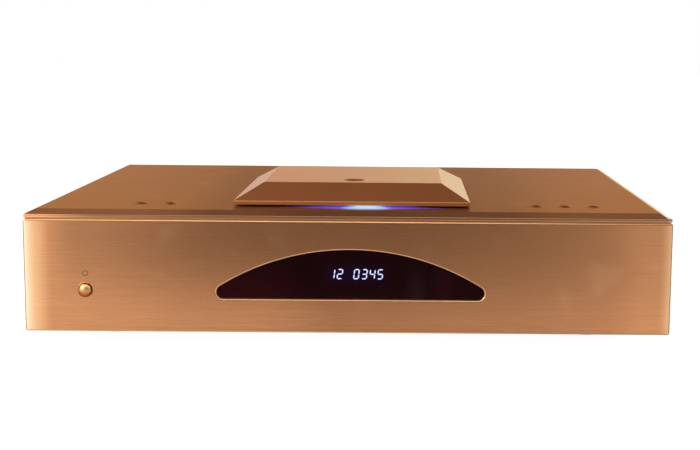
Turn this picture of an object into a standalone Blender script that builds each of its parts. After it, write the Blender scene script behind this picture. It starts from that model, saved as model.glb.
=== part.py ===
"""A top-loading disc player with a sliding lid, an arched display window and its working insides.

Lengths are in metres. +X is to the right seen from the front, the front faces -Y and +Z is up.
The origin lies on the floor, under the middle of the player's box. "Depth" below means the
distance behind the front plane of the faceplate.
"""

import math

import bmesh
import bpy
from mathutils import Matrix, Vector

# Fits that every piece shares
SEAT = 0.0003  # gap between two pieces that sit on each other
RUN = 0.0004  # clearance round a piece that slides or turns
OVERRUN = 0.002  # how far a cutter passes the wall that it cuts
BITE = 0.0008  # how far a fused boss sinks into its wall
MERGE_DISTANCE = 0.0000001  # two points of one turned shape that are nearer than this are one

# Case
FACE_WIDTH = 0.430
CASE_DEPTH = 0.310
CASE_HEIGHT = 0.079
FOOT_HEIGHT = 0.010
FACE_THICK = 0.010
FACE_ROUND = 0.0015
GROOVE = 0.0005
TOP_THICK = 0.0028
TOP_INSET = 0.0005
TOP_ROUND = 0.0011
SIDE_THICK = 0.0025
SIDE_INSET = 0.0010
TRAY_THICK = 0.0015
TRAY_RAISE = 0.0005
TRAY_FLANGE = 0.008
REAR_THICK = 0.002
REAR_INSET = 0.001

# Feet
FOOT_RADIUS = 0.020
FOOT_NECK_RADIUS = 0.017
FOOT_LIP = 0.0035
FOOT_CHAMFER = 0.001
FOOT_SIDE_INSET = 0.050
FOOT_END_INSET = 0.060

# Arched window and what shows in it
WINDOW_X = 0.00125
WINDOW_BOTTOM = 0.0227
WINDOW_APEX = 0.0563
WINDOW_ARC_RADIUS = 0.164
WINDOW_CORNER_RADIUS = 0.0047
WINDOW_CHAMFER = 0.0010
LENS_RECESS = 0.0019
LENS_THICK = 0.003
DISPLAY_WIDTH = 0.104
DISPLAY_HEIGHT = 0.024
DISPLAY_THICK = 0.006
DISPLAY_ROUND = 0.00075
DISPLAY_CENTRE = 0.039
DISPLAY_BOARD_WIDTH = 0.182
DISPLAY_BOARD_HEIGHT = 0.048
DISPLAY_BOARD_CENTRE = 0.033
DISPLAY_BOSS_X = 0.080
DISPLAY_BOSS_RISE = 0.019
BOSS_RADIUS = 0.003
BOARD_THICK = 0.0016

# Power button and its switch
POWER_END_INSET = 0.0405
POWER_RISE = 0.0283
POWER_RADIUS = 0.00405
POWER_HOLE_RADIUS = 0.0047
POWER_HOLE_CHAMFER = 0.0006
POWER_PROUD = 0.0028
POWER_DOME = 0.0020
POWER_TRAVEL = 0.0025
POWER_STEM_RADIUS = 0.0024
POWER_STEM_LENGTH = 0.011
SWITCH_GAP = 0.0040
SWITCH_FLANGE_WIDTH = 0.034
SWITCH_FLANGE_HEIGHT = 0.013
SWITCH_FLANGE_THICK = 0.002
SWITCH_BODY_WIDTH = 0.014
SWITCH_BODY_LENGTH = 0.018
SWITCH_BOSS_X = 0.013

# Keys on the top plate
KEY_RADIUS = 0.0040
KEY_RING = 0.0004
KEY_PITCH = 0.0202
KEY_DEPTH = 0.055
KEY_DOME = 0.0004
KEY_FLANGE_RADIUS = 0.0052
KEY_FLANGE_THICK = 0.0018
KEY_STEM_RADIUS = 0.0020
KEY_STEM_LENGTH = 0.0033
KEY_TRAVEL = 0.0012
LEFT_KEYS_INSET = 0.0766
RIGHT_KEYS_INSET = 0.0655
KEY_SWITCH_SIDE = 0.006
KEY_SWITCH_HEIGHT = 0.0035
KEY_BOARD_END = 0.017
KEY_BOSS_END = 0.012
KEY_BOARD_WIDTH = 0.020

# Lid, its runners and their rails
LID_WIDTH = 0.1645
LID_DEPTH = 0.1446
LID_FRONT = 0.0416
LID_CLEAR = 0.0013
LID_EDGE = 0.0027
LID_RISE = 0.0151
LID_SLOPE_RUN = 0.0196
LID_ROUND = 0.0004
LID_ROOF = 0.0040
LID_POCKET_RADIUS = 0.062
LID_POCKET_TOP_RADIUS = 0.048
DIMPLE_RADIUS = 0.008
DIMPLE_DEPTH = 0.0018
DIMPLE_SETBACK = 0.0150
BLADE_THICK = 0.0030
RUNNER_LENGTH = 0.060
RUNNER_SETBACK = 0.008
RUNNER_FOOT_WIDTH = 0.0084
RUNNER_FOOT_THICK = 0.0030
RAIL_WALL = 0.0015
RAIL_HEIGHT = 0.0070
RAIL_END = 0.004
RAIL_SPACE = 0.0014

# Disc well and the light beside it
WELL_RADIUS = 0.063
WELL_WALL = 0.0015
WELL_FLANGE = 0.002
WELL_FLANGE_THICK = 0.0015
WELL_FLOOR_THICK = 0.002
WELL_DEPTH = 0.023
WELL_CENTRE_HOLE = 0.008
LENS_SLOT_WIDTH = 0.010
LIGHT_LENGTH = 0.090
LIGHT_WIDTH = 0.003
LIGHT_SETBACK = 0.0035
LIGHT_SUNK = 0.0018
LIGHT_PROUD = 0.0006

# Spindle, its motor and the puck
DISC_SEAT_RISE = 0.004
TURNTABLE_RADIUS = 0.015
TURNTABLE_THICK = 0.0028
HUB_BOSS_RADIUS = 0.0073
HUB_BOSS_HEIGHT = 0.0022
HUB_CHAMFER = 0.0010
SPINDLE_RADIUS = 0.004
MOTOR_RADIUS = 0.012
MOTOR_HEIGHT = 0.0132
HUB_STEM_LENGTH = 0.0112
PUCK_RADIUS = 0.017
PUCK_RIM = 0.0037
PUCK_HEIGHT = 0.0117
PUCK_KNOB_RADIUS = 0.009
PUCK_RECESS_RADIUS = 0.008
PUCK_RECESS_DEPTH = 0.0028
PUCK_ROUND = 0.0010

# Pickup, its rods and the feed gears
SLED_WIDTH = 0.044
SLED_LENGTH = 0.022
SLED_THICK = 0.010
SLED_DROP = 0.004
LENS_RADIUS = 0.0035
LENS_REST_RADIUS = 0.024
LENS_END_RADIUS = 0.058
LENS_GAP = 0.0025
ROD_RADIUS = 0.0015
ROD_SPREAD = 0.032
POST_WIDTH = 0.006
POST_LENGTH = 0.006
POST_SPACE = 0.004
REAR_POST_SPACE = 0.008
POST_RISE = 0.0035
ROD_GRIP = 0.005
MODULE = 0.001
GEAR_TEETH = 26
PINION_TEETH = 10
TOOTH_TIP = 0.0009
TOOTH_ROOT = 0.0012
TOOTH_HALF_PITCH_WIDTH = 0.0005
TOOTH_HALF_TIP_WIDTH = 0.0002
TOOTH_HALF_ROOT_WIDTH = 0.0009
GEAR_THICK = 0.003
GEAR_SETBACK = 0.0039
RACK_SPARE_TEETH = 3
RACK_BACK = 0.0038
PIN_RADIUS = 0.0015
PIN_SHOULDER_RADIUS = 0.003
PIN_HEAD_RADIUS = 0.0026
PIN_HEAD_THICK = 0.0009
FEED_MOTOR_RADIUS = 0.009
FEED_MOTOR_HEIGHT = 0.0075

# Transport base and its mounts
BASE_PLATE_THICK = 0.0025
BASE_PLATE_LEFT = 0.034
BASE_PLATE_RIGHT = 0.072
BASE_PLATE_REAR = 0.032
ISOLATOR_RADIUS = 0.005
ISOLATOR_HEIGHT = 0.006
ISOLATOR_WAIST = 0.0035
ISOLATOR_INSET = 0.007
STAND_RADIUS = 0.004

# Mains transformer
TORUS_RADIUS = 0.042
TORUS_HOLE_RADIUS = 0.014
TORUS_HEIGHT = 0.034
TORUS_ROUND = 0.006
TORUS_SIDE_GAP = 0.0292
TORUS_REAR_GAP = 0.050
PILLAR_RADIUS = 0.005
PILLAR_PROUD = 0.004
CLAMP_RADIUS = 0.030
CLAMP_THICK = 0.002
CLAMP_LIP = 0.0025

# Circuit boards in the tray
BOARD_RISE = 0.0100
BOARD_POST_RADIUS = 0.003
BOARD_POST_INSET = 0.006
BOARD_SIDE_GAP = 0.0162
MAIN_BOARD_WIDTH = 0.165
MAIN_BOARD_LENGTH = 0.125
MAIN_BOARD_REAR_GAP = 0.017
SERVO_BOARD_WIDTH = 0.105
SERVO_BOARD_DEPTH = 0.040
SERVO_BOARD_LENGTH = 0.090
CHIP_HEIGHT = 0.003
RELAY_HEIGHT = 0.012
CAPACITOR_RADIUS = 0.011
CAPACITOR_HEIGHT = 0.035
CAPACITOR_ROUND = 0.0012
CAPACITOR_PITCH = 0.030

# Sockets on the rear panel
SOCKET_RISE = 0.045
SOCKET_PROUD = 0.0105
SOCKET_BARREL_RADIUS = 0.00415
SOCKET_FLANGE_RADIUS = 0.0070
SOCKET_FLANGE_THICK = 0.002
SOCKET_SHANK_RADIUS = 0.0045
SOCKET_NUT_THICK = 0.003
SOCKET_TAIL = 0.006
SOCKET_BORE_RADIUS = 0.0017
SOCKET_BORE_DEPTH = 0.008
ANALOGUE_PITCH = 0.030
ANALOGUE_GAP = 0.060
DIGITAL_INSET = 0.065
INLET_INSET = 0.065
INLET_WIDTH = 0.0275
INLET_HEIGHT = 0.020
INLET_LENGTH = 0.018
INLET_FLANGE_WIDTH = 0.050
INLET_FLANGE_HEIGHT = 0.0235
INLET_FLANGE_THICK = 0.003
INLET_WALL = 0.002
INLET_FLOOR = 0.0025
INLET_PIN_WIDTH = 0.002
INLET_PIN_HEIGHT = 0.004
INLET_PIN_LENGTH = 0.013
INLET_PIN_PITCH = 0.007
INLET_EARTH_RISE = 0.003

# Facets and shading
POST_STEPS = 12
SMALL_STEPS = 16
ROUND_STEPS = 24
TORUS_STEPS = 32
FINE_STEPS = 48
WELL_STEPS = 64
ARC_STEPS = 28
CORNER_STEPS = 5
CROWN_STEPS = 3
ROUND_SEGMENTS = 2
SHARP_ANGLE = math.radians(35)

# Places shared by several pieces
BODY_LOW = FOOT_HEIGHT
TOP_Z = FOOT_HEIGHT + CASE_HEIGHT
TOP_UNDER = TOP_Z - TOP_THICK
PANEL_TOP = TOP_UNDER - SEAT
FACE_TOP = TOP_UNDER - GROOVE
FACE_HALF = FACE_WIDTH / 2
SIDE_OUTER = FACE_HALF - SIDE_INSET
SIDE_INNER = SIDE_OUTER - SIDE_THICK
INSIDE_HALF = SIDE_INNER - SEAT
FRONT_Y = (POWER_PROUD - CASE_DEPTH - SOCKET_PROUD) / 2
CASE_START = FACE_THICK + SEAT
REAR_OUTER = CASE_DEPTH - REAR_INSET
REAR_INNER = REAR_OUTER - REAR_THICK
TRAY_LOW = BODY_LOW + TRAY_RAISE
TRAY_TOP = TRAY_LOW + TRAY_THICK
WELL_CENTRE_DEPTH = LID_FRONT + LID_DEPTH / 2
LID_TRAVEL = WELL_CENTRE_DEPTH + WELL_RADIUS - LID_FRONT
LID_LOW = TOP_Z + LID_CLEAR
LID_HIGH = TOP_Z + LID_RISE
WELL_OUTER = WELL_RADIUS + WELL_WALL
WELL_FLANGE_RADIUS = WELL_OUTER + WELL_FLANGE
RAIL_HALF = RUNNER_FOOT_WIDTH / 2 + RUN + RAIL_WALL
RUNNER_X = WELL_FLANGE_RADIUS + RAIL_SPACE + RAIL_HALF
RUNNER_START = LID_FRONT + RUNNER_SETBACK
RUNNER_REACH = RUNNER_START + RUNNER_LENGTH + LID_TRAVEL
WELL_FLOOR_TOP = TOP_Z - WELL_DEPTH
WELL_FLOOR_LOW = WELL_FLOOR_TOP - WELL_FLOOR_THICK
DISC_SEAT_Z = WELL_FLOOR_TOP + DISC_SEAT_RISE
SLED_TOP = WELL_FLOOR_LOW - SLED_DROP
SLED_LOW = SLED_TOP - SLED_THICK
SLED_MIDDLE = (SLED_TOP + SLED_LOW) / 2
SLED_TRAVEL = LENS_END_RADIUS - LENS_REST_RADIUS
SLED_CENTRE_DEPTH = WELL_CENTRE_DEPTH - LENS_REST_RADIUS
HUB_LOW = DISC_SEAT_Z - TURNTABLE_THICK
GEAR_RADIUS = MODULE * GEAR_TEETH / 2
PINION_RADIUS = MODULE * PINION_TEETH / 2
TOOTH_PITCH = MODULE * math.pi
PITCH_LINE_X = SLED_WIDTH / 2 + RACK_BACK - BITE
GEAR_X = PITCH_LINE_X + GEAR_RADIUS
PINION_X = GEAR_X + GEAR_RADIUS + PINION_RADIUS
GEAR_DEPTH = SLED_CENTRE_DEPTH - SLED_LENGTH / 2 - GEAR_SETBACK
GEAR_LOW = SLED_MIDDLE
GEAR_HIGH = GEAR_LOW + GEAR_THICK
ROD_X = ROD_SPREAD / 2
FRONT_POST_REAR = SLED_CENTRE_DEPTH - SLED_LENGTH / 2 - SLED_TRAVEL - POST_SPACE
FRONT_POST_FRONT = FRONT_POST_REAR - POST_LENGTH
REAR_POST_FRONT = SLED_CENTRE_DEPTH + SLED_LENGTH / 2 + REAR_POST_SPACE
MOTOR_TOP = HUB_LOW - HUB_STEM_LENGTH
MOTOR_LOW = MOTOR_TOP - MOTOR_HEIGHT
BASE_PLATE_TOP = MOTOR_LOW - SEAT
BASE_PLATE_LOW = BASE_PLATE_TOP - BASE_PLATE_THICK
BASE_PLATE_FRONT = FRONT_POST_FRONT - POST_LENGTH
BASE_PLATE_BACK = WELL_CENTRE_DEPTH + BASE_PLATE_REAR
POWER_X = -FACE_HALF + POWER_END_INSET
POWER_Z = BODY_LOW + POWER_RISE
SWITCH_FRONT = FACE_THICK + SWITCH_GAP
DISPLAY_BOARD_FRONT = FACE_THICK + SEAT * 2 + DISPLAY_THICK + SEAT
LEFT_KEYS_X = -FACE_HALF + LEFT_KEYS_INSET
RIGHT_KEYS_X = FACE_HALF - RIGHT_KEYS_INSET
KEY_STEM_END = PANEL_TOP - KEY_FLANGE_THICK - KEY_STEM_LENGTH
KEY_BOARD_TOP = KEY_STEM_END - KEY_TRAVEL - SEAT - KEY_SWITCH_HEIGHT
SOCKET_Z = BODY_LOW + SOCKET_RISE
DIGITAL_X = FACE_HALF - DIGITAL_INSET
ANALOGUE_X = DIGITAL_X - ANALOGUE_GAP - ANALOGUE_PITCH
INLET_X = -FACE_HALF + INLET_INSET
TORUS_X = -INSIDE_HALF + TORUS_SIDE_GAP + TORUS_RADIUS
TORUS_DEPTH = REAR_INNER - TORUS_REAR_GAP - TORUS_RADIUS
TORUS_LOW = TRAY_TOP + SEAT
TORUS_HIGH = TORUS_LOW + TORUS_HEIGHT
BOARD_LOW = TRAY_TOP + BOARD_RISE
MAIN_BOARD_LEFT = INSIDE_HALF - BOARD_SIDE_GAP - MAIN_BOARD_WIDTH
MAIN_BOARD_DEPTH = REAR_INNER - MAIN_BOARD_REAR_GAP - MAIN_BOARD_LENGTH
SERVO_BOARD_LEFT = -INSIDE_HALF + BOARD_SIDE_GAP

# Rest places of blocks on the boards: shares of the board's width and length, then of a block
MAIN_BLOCK_SHARES = ((0.62, 0.15, 0.16, 0.14), (0.80, 0.45, 0.12, 0.16), (0.30, 0.78, 0.14, 0.10))
SERVO_BLOCK_SHARES = ((0.30, 0.40, 0.20, 0.22), (0.68, 0.62, 0.16, 0.18), (0.72, 0.22, 0.12, 0.10))

# Finishes: colour, roughness and metallic value
FINISHES = {
    "copper_plate": ((0.560, 0.275, 0.135), 0.34, 1.0),
    "blasted_copper": ((0.640, 0.360, 0.190), 0.42, 1.0),
    "gold": ((0.830, 0.520, 0.160), 0.15, 1.0),
    "smoked_lens": ((0.012, 0.004, 0.006), 0.06, 0.0),
    "display_glass": ((0.020, 0.024, 0.036), 0.10, 0.0),
    "black_steel": ((0.030, 0.029, 0.028), 0.50, 0.6),
    "zinc_steel": ((0.520, 0.520, 0.500), 0.38, 1.0),
    "polished_steel": ((0.700, 0.700, 0.700), 0.18, 1.0),
    "black_plastic": ((0.020, 0.020, 0.021), 0.45, 0.0),
    "white_plastic": ((0.780, 0.770, 0.730), 0.40, 0.0),
    "rubber": ((0.018, 0.018, 0.018), 0.85, 0.0),
    "board_green": ((0.020, 0.150, 0.070), 0.40, 0.0),
    "winding": ((0.500, 0.230, 0.060), 0.45, 0.3),
    "sleeve_blue": ((0.020, 0.060, 0.220), 0.35, 0.0),
    "light_bar": ((0.450, 0.620, 1.000), 0.30, 0.0),
    "optic": ((0.250, 0.300, 0.480), 0.04, 0.0),
}


def clear_scene():
    """Removes every object that the scene starts with."""
    for obj in list(bpy.data.objects):
        bpy.data.objects.remove(obj)


def depth(distance):
    """World y of a place this far behind the front plane."""
    return FRONT_Y + distance


def material(finish):
    """The Principled material of a finish, made on first use."""
    found = bpy.data.materials.get(finish)
    if found:
        return found
    colour, roughness, metallic = FINISHES[finish]
    made = bpy.data.materials.new(finish)
    made.use_nodes = True
    shader = made.node_tree.nodes["Principled BSDF"]
    shader.inputs["Base Color"].default_value = (*colour, 1)
    shader.inputs["Roughness"].default_value = roughness
    shader.inputs["Metallic"].default_value = metallic
    made.diffuse_color = (*colour, 1)
    return made


def box(low, high):
    """A closed box between two opposite corners."""
    bm = bmesh.new()
    size = [b - a for a, b in zip(low, high)]
    middle = [(a + b) / 2 for a, b in zip(low, high)]
    place = Matrix.Translation(middle) @ Matrix.Diagonal((*size, 1))
    bmesh.ops.create_cube(bm, size=1, matrix=place)
    return bm


def turned(profile, centre, along="Z", steps=ROUND_STEPS):
    """A profile of (radius, place along the axis) points spun about an axis through centre.

    A profile that leaves the axis is a closed loop and makes a ring.
    """
    bm = bmesh.new()
    points = [bm.verts.new((radius, 0, place)) for radius, place in profile]
    pairs = list(zip(points, points[1:]))
    if profile[0][0] > 0:
        pairs.append((points[-1], points[0]))
    edges = [bm.edges.new(pair) for pair in pairs]
    bmesh.ops.spin(
        bm, geom=points + edges, cent=(0, 0, 0), axis=(0, 0, 1), angle=math.tau, steps=steps, use_merge=True
    )
    bmesh.ops.remove_doubles(bm, verts=bm.verts, dist=MERGE_DISTANCE)
    if along == "Y":
        bmesh.ops.rotate(bm, verts=bm.verts, cent=(0, 0, 0), matrix=Matrix.Rotation(-math.pi / 2, 3, "X"))
    bmesh.ops.translate(bm, verts=bm.verts, vec=Vector(centre))
    return bm


def rod(radius, low, high, centre, along="Z", steps=ROUND_STEPS):
    """A plain cylinder between two places along its axis."""
    return turned(((0, low), (radius, low), (radius, high), (0, high)), centre, along, steps)


def post(radius, low, high, x, distance):
    """A slim upright cylinder at an x and a depth."""
    return rod(radius, low, high, (x, depth(distance), 0), steps=POST_STEPS)


def lofted(rings):
    """A closed solid through rings of as many points each, capped at both ends."""
    bm = bmesh.new()
    rows = [[bm.verts.new(point) for point in ring] for ring in rings]
    bm.faces.new(rows[0])
    bm.faces.new(rows[-1])
    for lower, upper in zip(rows, rows[1:]):
        for at, corner in enumerate(lower):
            after = (at + 1) % len(lower)
            bm.faces.new((corner, lower[after], upper[after], upper[at]))
    return bm


def together(*parts):
    """Several shapes that stand apart, in one mesh for use as one tool."""
    whole = bmesh.new()
    for part in parts:
        spare = bpy.data.meshes.new("spare")
        part.to_mesh(spare)
        part.free()
        whole.from_mesh(spare)
        bpy.data.meshes.remove(spare)
    return whole


def place_object(name, bm, origin, finish):
    """An object of this mesh, with its origin at the given place."""
    bmesh.ops.recalc_face_normals(bm, faces=bm.faces)
    bmesh.ops.translate(bm, verts=bm.verts, vec=-Vector(origin))
    mesh = bpy.data.meshes.new(name)
    bm.to_mesh(mesh)
    bm.free()
    mesh.shade_smooth()
    mesh.set_sharp_from_angle(angle=SHARP_ANGLE)
    mesh.materials.append(material(finish))
    obj = bpy.data.objects.new(name, mesh)
    obj.location = origin
    bpy.context.scene.collection.objects.link(obj)
    return obj


def apply_tool(target, label, bm, operation):
    """Cuts a shape from a piece or fuses it on, with a Boolean that stays on the piece."""
    tool = place_object(f"{target.name}_{label}", bm, target.location, target.data.materials[0].name)
    tool.hide_render = True
    tool.display_type = "WIRE"
    boolean = target.modifiers.new(label, "BOOLEAN")
    boolean.operation = operation
    boolean.solver = "EXACT"
    boolean.object = tool


def cut(target, label, bm):
    """Takes a shape away from a piece."""
    apply_tool(target, label, bm, "DIFFERENCE")


def fuse(target, label, bm):
    """Joins a shape to a piece."""
    apply_tool(target, label, bm, "UNION")


def round_edges(target, width, segments=ROUND_SEGMENTS):
    """Rounds a piece's sharp edges before its holes are cut."""
    bevel = target.modifiers.new("rounding", "BEVEL")
    bevel.width = width
    bevel.segments = segments
    bevel.limit_method = "ANGLE"
    bevel.angle_limit = SHARP_ANGLE


def carry(children, name, origin):
    """Parents the pieces that move together to an empty on their joint's axis."""
    carrier = bpy.data.objects.new(name, None)
    carrier.location = origin
    bpy.context.scene.collection.objects.link(carrier)
    for child in children:
        child.parent = carrier
        child.matrix_parent_inverse = Matrix.Translation(origin).inverted()


def window_outline(inset):
    """Points (x, z) round the arched window, drawn in by an inset."""
    base = BODY_LOW + WINDOW_BOTTOM + inset
    arc = WINDOW_ARC_RADIUS - inset
    corner = WINDOW_CORNER_RADIUS - inset
    centre = BODY_LOW + WINDOW_APEX - WINDOW_ARC_RADIUS
    corner_z = base + corner
    corner_x = math.sqrt((arc - corner) ** 2 - (corner_z - centre) ** 2)
    tangent = math.atan2(corner_z - centre, corner_x)
    right = [
        (corner_x + corner * math.cos(angle), corner_z + corner * math.sin(angle))
        for angle in spaced(-math.pi / 2, tangent, CORNER_STEPS)
    ]
    over = [
        (arc * math.cos(angle), centre + arc * math.sin(angle))
        for angle in spaced(tangent, math.pi - tangent, ARC_STEPS)
    ]
    left = [(-x, z) for x, z in reversed(right)]
    return [(WINDOW_X + x, z) for x, z in right + over[1:-1] + left]


def spaced(first, last, steps):
    """Evenly spaced values from first to last."""
    return [first + (last - first) * step / steps for step in range(steps + 1)]


def upright_ring(outline, distance):
    """An outline of (x, z) points stood up at a depth."""
    return [(x, depth(distance), z) for x, z in outline]


def flat_ring(outline, height):
    """An outline of (x, y) points laid at a height."""
    return [(x, y, height) for x, y in outline]


def panel_box(left, right, front, rear, low, high):
    """A box given by its sides, its depths and its heights."""
    return box((left, depth(front), low), (right, depth(rear), high))


def make_base_tray():
    """The folded tray under everything, with the posts that carry the boards and the transport."""
    front, rear = CASE_START, REAR_INNER - SEAT
    tray = place_object(
        "base_tray",
        panel_box(-INSIDE_HALF, INSIDE_HALF, front, rear, TRAY_LOW, TRAY_TOP + TRAY_FLANGE),
        (0, depth((front + rear) / 2), TRAY_LOW),
        "zinc_steel",
    )
    inner = INSIDE_HALF - TRAY_THICK
    hollow = panel_box(
        -inner, inner, front + TRAY_THICK, rear - TRAY_THICK, TRAY_TOP, TRAY_TOP + TRAY_FLANGE + OVERRUN
    )
    cut(tray, "hollow", hollow)
    posts = []
    for x, distance in isolator_places():
        stand_high = BASE_PLATE_LOW - SEAT - ISOLATOR_HEIGHT - SEAT
        posts.append(post(STAND_RADIUS, TRAY_TOP - BITE, stand_high, x, distance))
    for x, distance in board_post_places():
        posts.append(post(BOARD_POST_RADIUS, TRAY_TOP - BITE, BOARD_LOW - SEAT, x, distance))
    pillar_high = TORUS_HIGH + SEAT + CLAMP_THICK + PILLAR_PROUD
    posts.append(post(PILLAR_RADIUS, TRAY_TOP - BITE, pillar_high, TORUS_X, TORUS_DEPTH))
    fuse(tray, "posts", together(*posts))


def isolator_places():
    """Where the four rubber isolators stand, as (x, depth)."""
    xs = (-BASE_PLATE_LEFT + ISOLATOR_INSET, BASE_PLATE_RIGHT - ISOLATOR_INSET)
    depths = (BASE_PLATE_FRONT + ISOLATOR_INSET, BASE_PLATE_BACK - ISOLATOR_INSET)
    return [(x, distance) for x in xs for distance in depths]


def board_post_places():
    """Where the posts under the two boards stand, as (x, depth)."""
    boards = (
        (MAIN_BOARD_LEFT, MAIN_BOARD_WIDTH, MAIN_BOARD_DEPTH, MAIN_BOARD_LENGTH),
        (SERVO_BOARD_LEFT, SERVO_BOARD_WIDTH, SERVO_BOARD_DEPTH, SERVO_BOARD_LENGTH),
    )
    return [
        (x, distance)
        for left, width, front, length in boards
        for x in (left + BOARD_POST_INSET, left + width - BOARD_POST_INSET)
        for distance in (front + BOARD_POST_INSET, front + length - BOARD_POST_INSET)
    ]


def make_side_panels():
    """The two plain panels between the faceplate and the rear."""
    for name, side in (("side_panel_left", -1), ("side_panel_right", 1)):
        left, right = sorted((side * SIDE_INNER, side * SIDE_OUTER))
        place_object(
            name,
            panel_box(left, right, CASE_START, REAR_OUTER, BODY_LOW, PANEL_TOP),
            ((left + right) / 2, depth(REAR_OUTER / 2), BODY_LOW),
            "copper_plate",
        )


def make_rear_panel():
    """The steel rear panel with its holes for the sockets and the mains inlet."""
    panel = place_object(
        "rear_panel",
        panel_box(-INSIDE_HALF, INSIDE_HALF, REAR_INNER, REAR_OUTER, TRAY_LOW, PANEL_TOP),
        (0, depth(REAR_INNER), TRAY_LOW),
        "black_steel",
    )
    reach = (REAR_INNER - OVERRUN, REAR_OUTER + OVERRUN)
    holes = [
        rod(SOCKET_SHANK_RADIUS + RUN, *reach, (x, depth(0), SOCKET_Z), "Y", SMALL_STEPS)
        for x in socket_places().values()
    ]
    half_wide = INLET_WIDTH / 2 + SEAT
    half_high = INLET_HEIGHT / 2 + SEAT
    holes.append(
        panel_box(
            INLET_X - half_wide,
            INLET_X + half_wide,
            REAR_INNER - OVERRUN,
            REAR_OUTER + OVERRUN,
            SOCKET_Z - half_high,
            SOCKET_Z + half_high,
        )
    )
    cut(panel, "sockets", together(*holes))


def socket_places():
    """Each round socket's name and x."""
    return {
        "rca_jack_left": ANALOGUE_X,
        "rca_jack_right": ANALOGUE_X + ANALOGUE_PITCH,
        "digital_jack": DIGITAL_X,
    }


def make_faceplate():
    """The thick front with its arched window, its button hole and the bosses behind it."""
    plate = place_object(
        "faceplate",
        panel_box(-FACE_HALF, FACE_HALF, 0, FACE_THICK, BODY_LOW, FACE_TOP),
        (0, depth(0), BODY_LOW),
        "copper_plate",
    )
    round_edges(plate, FACE_ROUND, ROUND_SEGMENTS + 1)
    opening = lofted(
        [
            upright_ring(window_outline(-OVERRUN), -OVERRUN + WINDOW_CHAMFER),
            upright_ring(window_outline(0), WINDOW_CHAMFER),
            upright_ring(window_outline(0), FACE_THICK + OVERRUN),
        ]
    )
    cut(plate, "window", opening)
    wide = POWER_HOLE_RADIUS + OVERRUN
    hole = turned(
        (
            (0, -OVERRUN + POWER_HOLE_CHAMFER),
            (wide, -OVERRUN + POWER_HOLE_CHAMFER),
            (POWER_HOLE_RADIUS, POWER_HOLE_CHAMFER),
            (POWER_HOLE_RADIUS, FACE_THICK + OVERRUN),
            (0, FACE_THICK + OVERRUN),
        ),
        (POWER_X, depth(0), POWER_Z),
        "Y",
    )
    cut(plate, "button_hole", hole)
    bosses = [
        rod(BOSS_RADIUS, FACE_THICK - BITE, DISPLAY_BOARD_FRONT - SEAT, (x, depth(0), z), "Y", POST_STEPS)
        for x, z in display_boss_places()
    ]
    for side in (-1, 1):
        centre = (POWER_X + side * SWITCH_BOSS_X, depth(0), POWER_Z)
        bosses.append(rod(BOSS_RADIUS, FACE_THICK - BITE, SWITCH_FRONT - SEAT, centre, "Y", POST_STEPS))
    fuse(plate, "bosses", together(*bosses))


def display_boss_places():
    """Where the display board's bosses stand behind the faceplate, as (x, z)."""
    middle = BODY_LOW + DISPLAY_BOARD_CENTRE
    return [
        (side * DISPLAY_BOSS_X, middle + rise * DISPLAY_BOSS_RISE) for side in (-1, 1) for rise in (-1, 1)
    ]


def make_window_lens():
    """The smoked lens that closes the arched window."""
    outline = window_outline(SEAT)
    place_object(
        "window_lens",
        lofted([upright_ring(outline, LENS_RECESS), upright_ring(outline, LENS_RECESS + LENS_THICK)]),
        (WINDOW_X, depth(LENS_RECESS), BODY_LOW + WINDOW_BOTTOM),
        "smoked_lens",
    )


def make_display():
    """The display tube behind the lens, and the board that it stands on."""
    middle = BODY_LOW + DISPLAY_CENTRE
    rear = DISPLAY_BOARD_FRONT - SEAT
    tube = place_object(
        "display_module",
        panel_box(
            -DISPLAY_WIDTH / 2,
            DISPLAY_WIDTH / 2,
            rear - DISPLAY_THICK,
            rear,
            middle - DISPLAY_HEIGHT / 2,
            middle + DISPLAY_HEIGHT / 2,
        ),
        (0, depth(rear), middle),
        "display_glass",
    )
    round_edges(tube, DISPLAY_ROUND)
    board_middle = BODY_LOW + DISPLAY_BOARD_CENTRE
    board_rear = DISPLAY_BOARD_FRONT + BOARD_THICK
    board = place_object(
        "display_board",
        panel_box(
            -DISPLAY_BOARD_WIDTH / 2,
            DISPLAY_BOARD_WIDTH / 2,
            DISPLAY_BOARD_FRONT,
            board_rear,
            board_middle - DISPLAY_BOARD_HEIGHT / 2,
            board_middle + DISPLAY_BOARD_HEIGHT / 2,
        ),
        (0, depth(DISPLAY_BOARD_FRONT), board_middle),
        "board_green",
    )
    driver = panel_box(
        -DISPLAY_HEIGHT / 2,
        DISPLAY_HEIGHT / 2,
        board_rear - BITE,
        board_rear + CHIP_HEIGHT,
        board_middle - DISPLAY_HEIGHT / 4,
        board_middle + DISPLAY_HEIGHT / 4,
    )
    fuse(board, "driver", driver)


def make_power_button():
    """The gold domed button, with the stem that reaches into its switch."""
    rim = -POWER_PROUD + POWER_DOME
    dome = [
        (POWER_RADIUS * math.sin(angle), rim - POWER_DOME * math.cos(angle))
        for angle in spaced(0, math.pi / 2, CORNER_STEPS)
    ]
    back = FACE_THICK - SEAT
    profile = dome + [
        (POWER_RADIUS, back),
        (POWER_STEM_RADIUS, back),
        (POWER_STEM_RADIUS, back + POWER_STEM_LENGTH),
        (0, back + POWER_STEM_LENGTH),
    ]
    origin = (POWER_X, depth(0), POWER_Z)
    place_object("power_button", turned(profile, origin, "Y"), origin, "gold")


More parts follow.
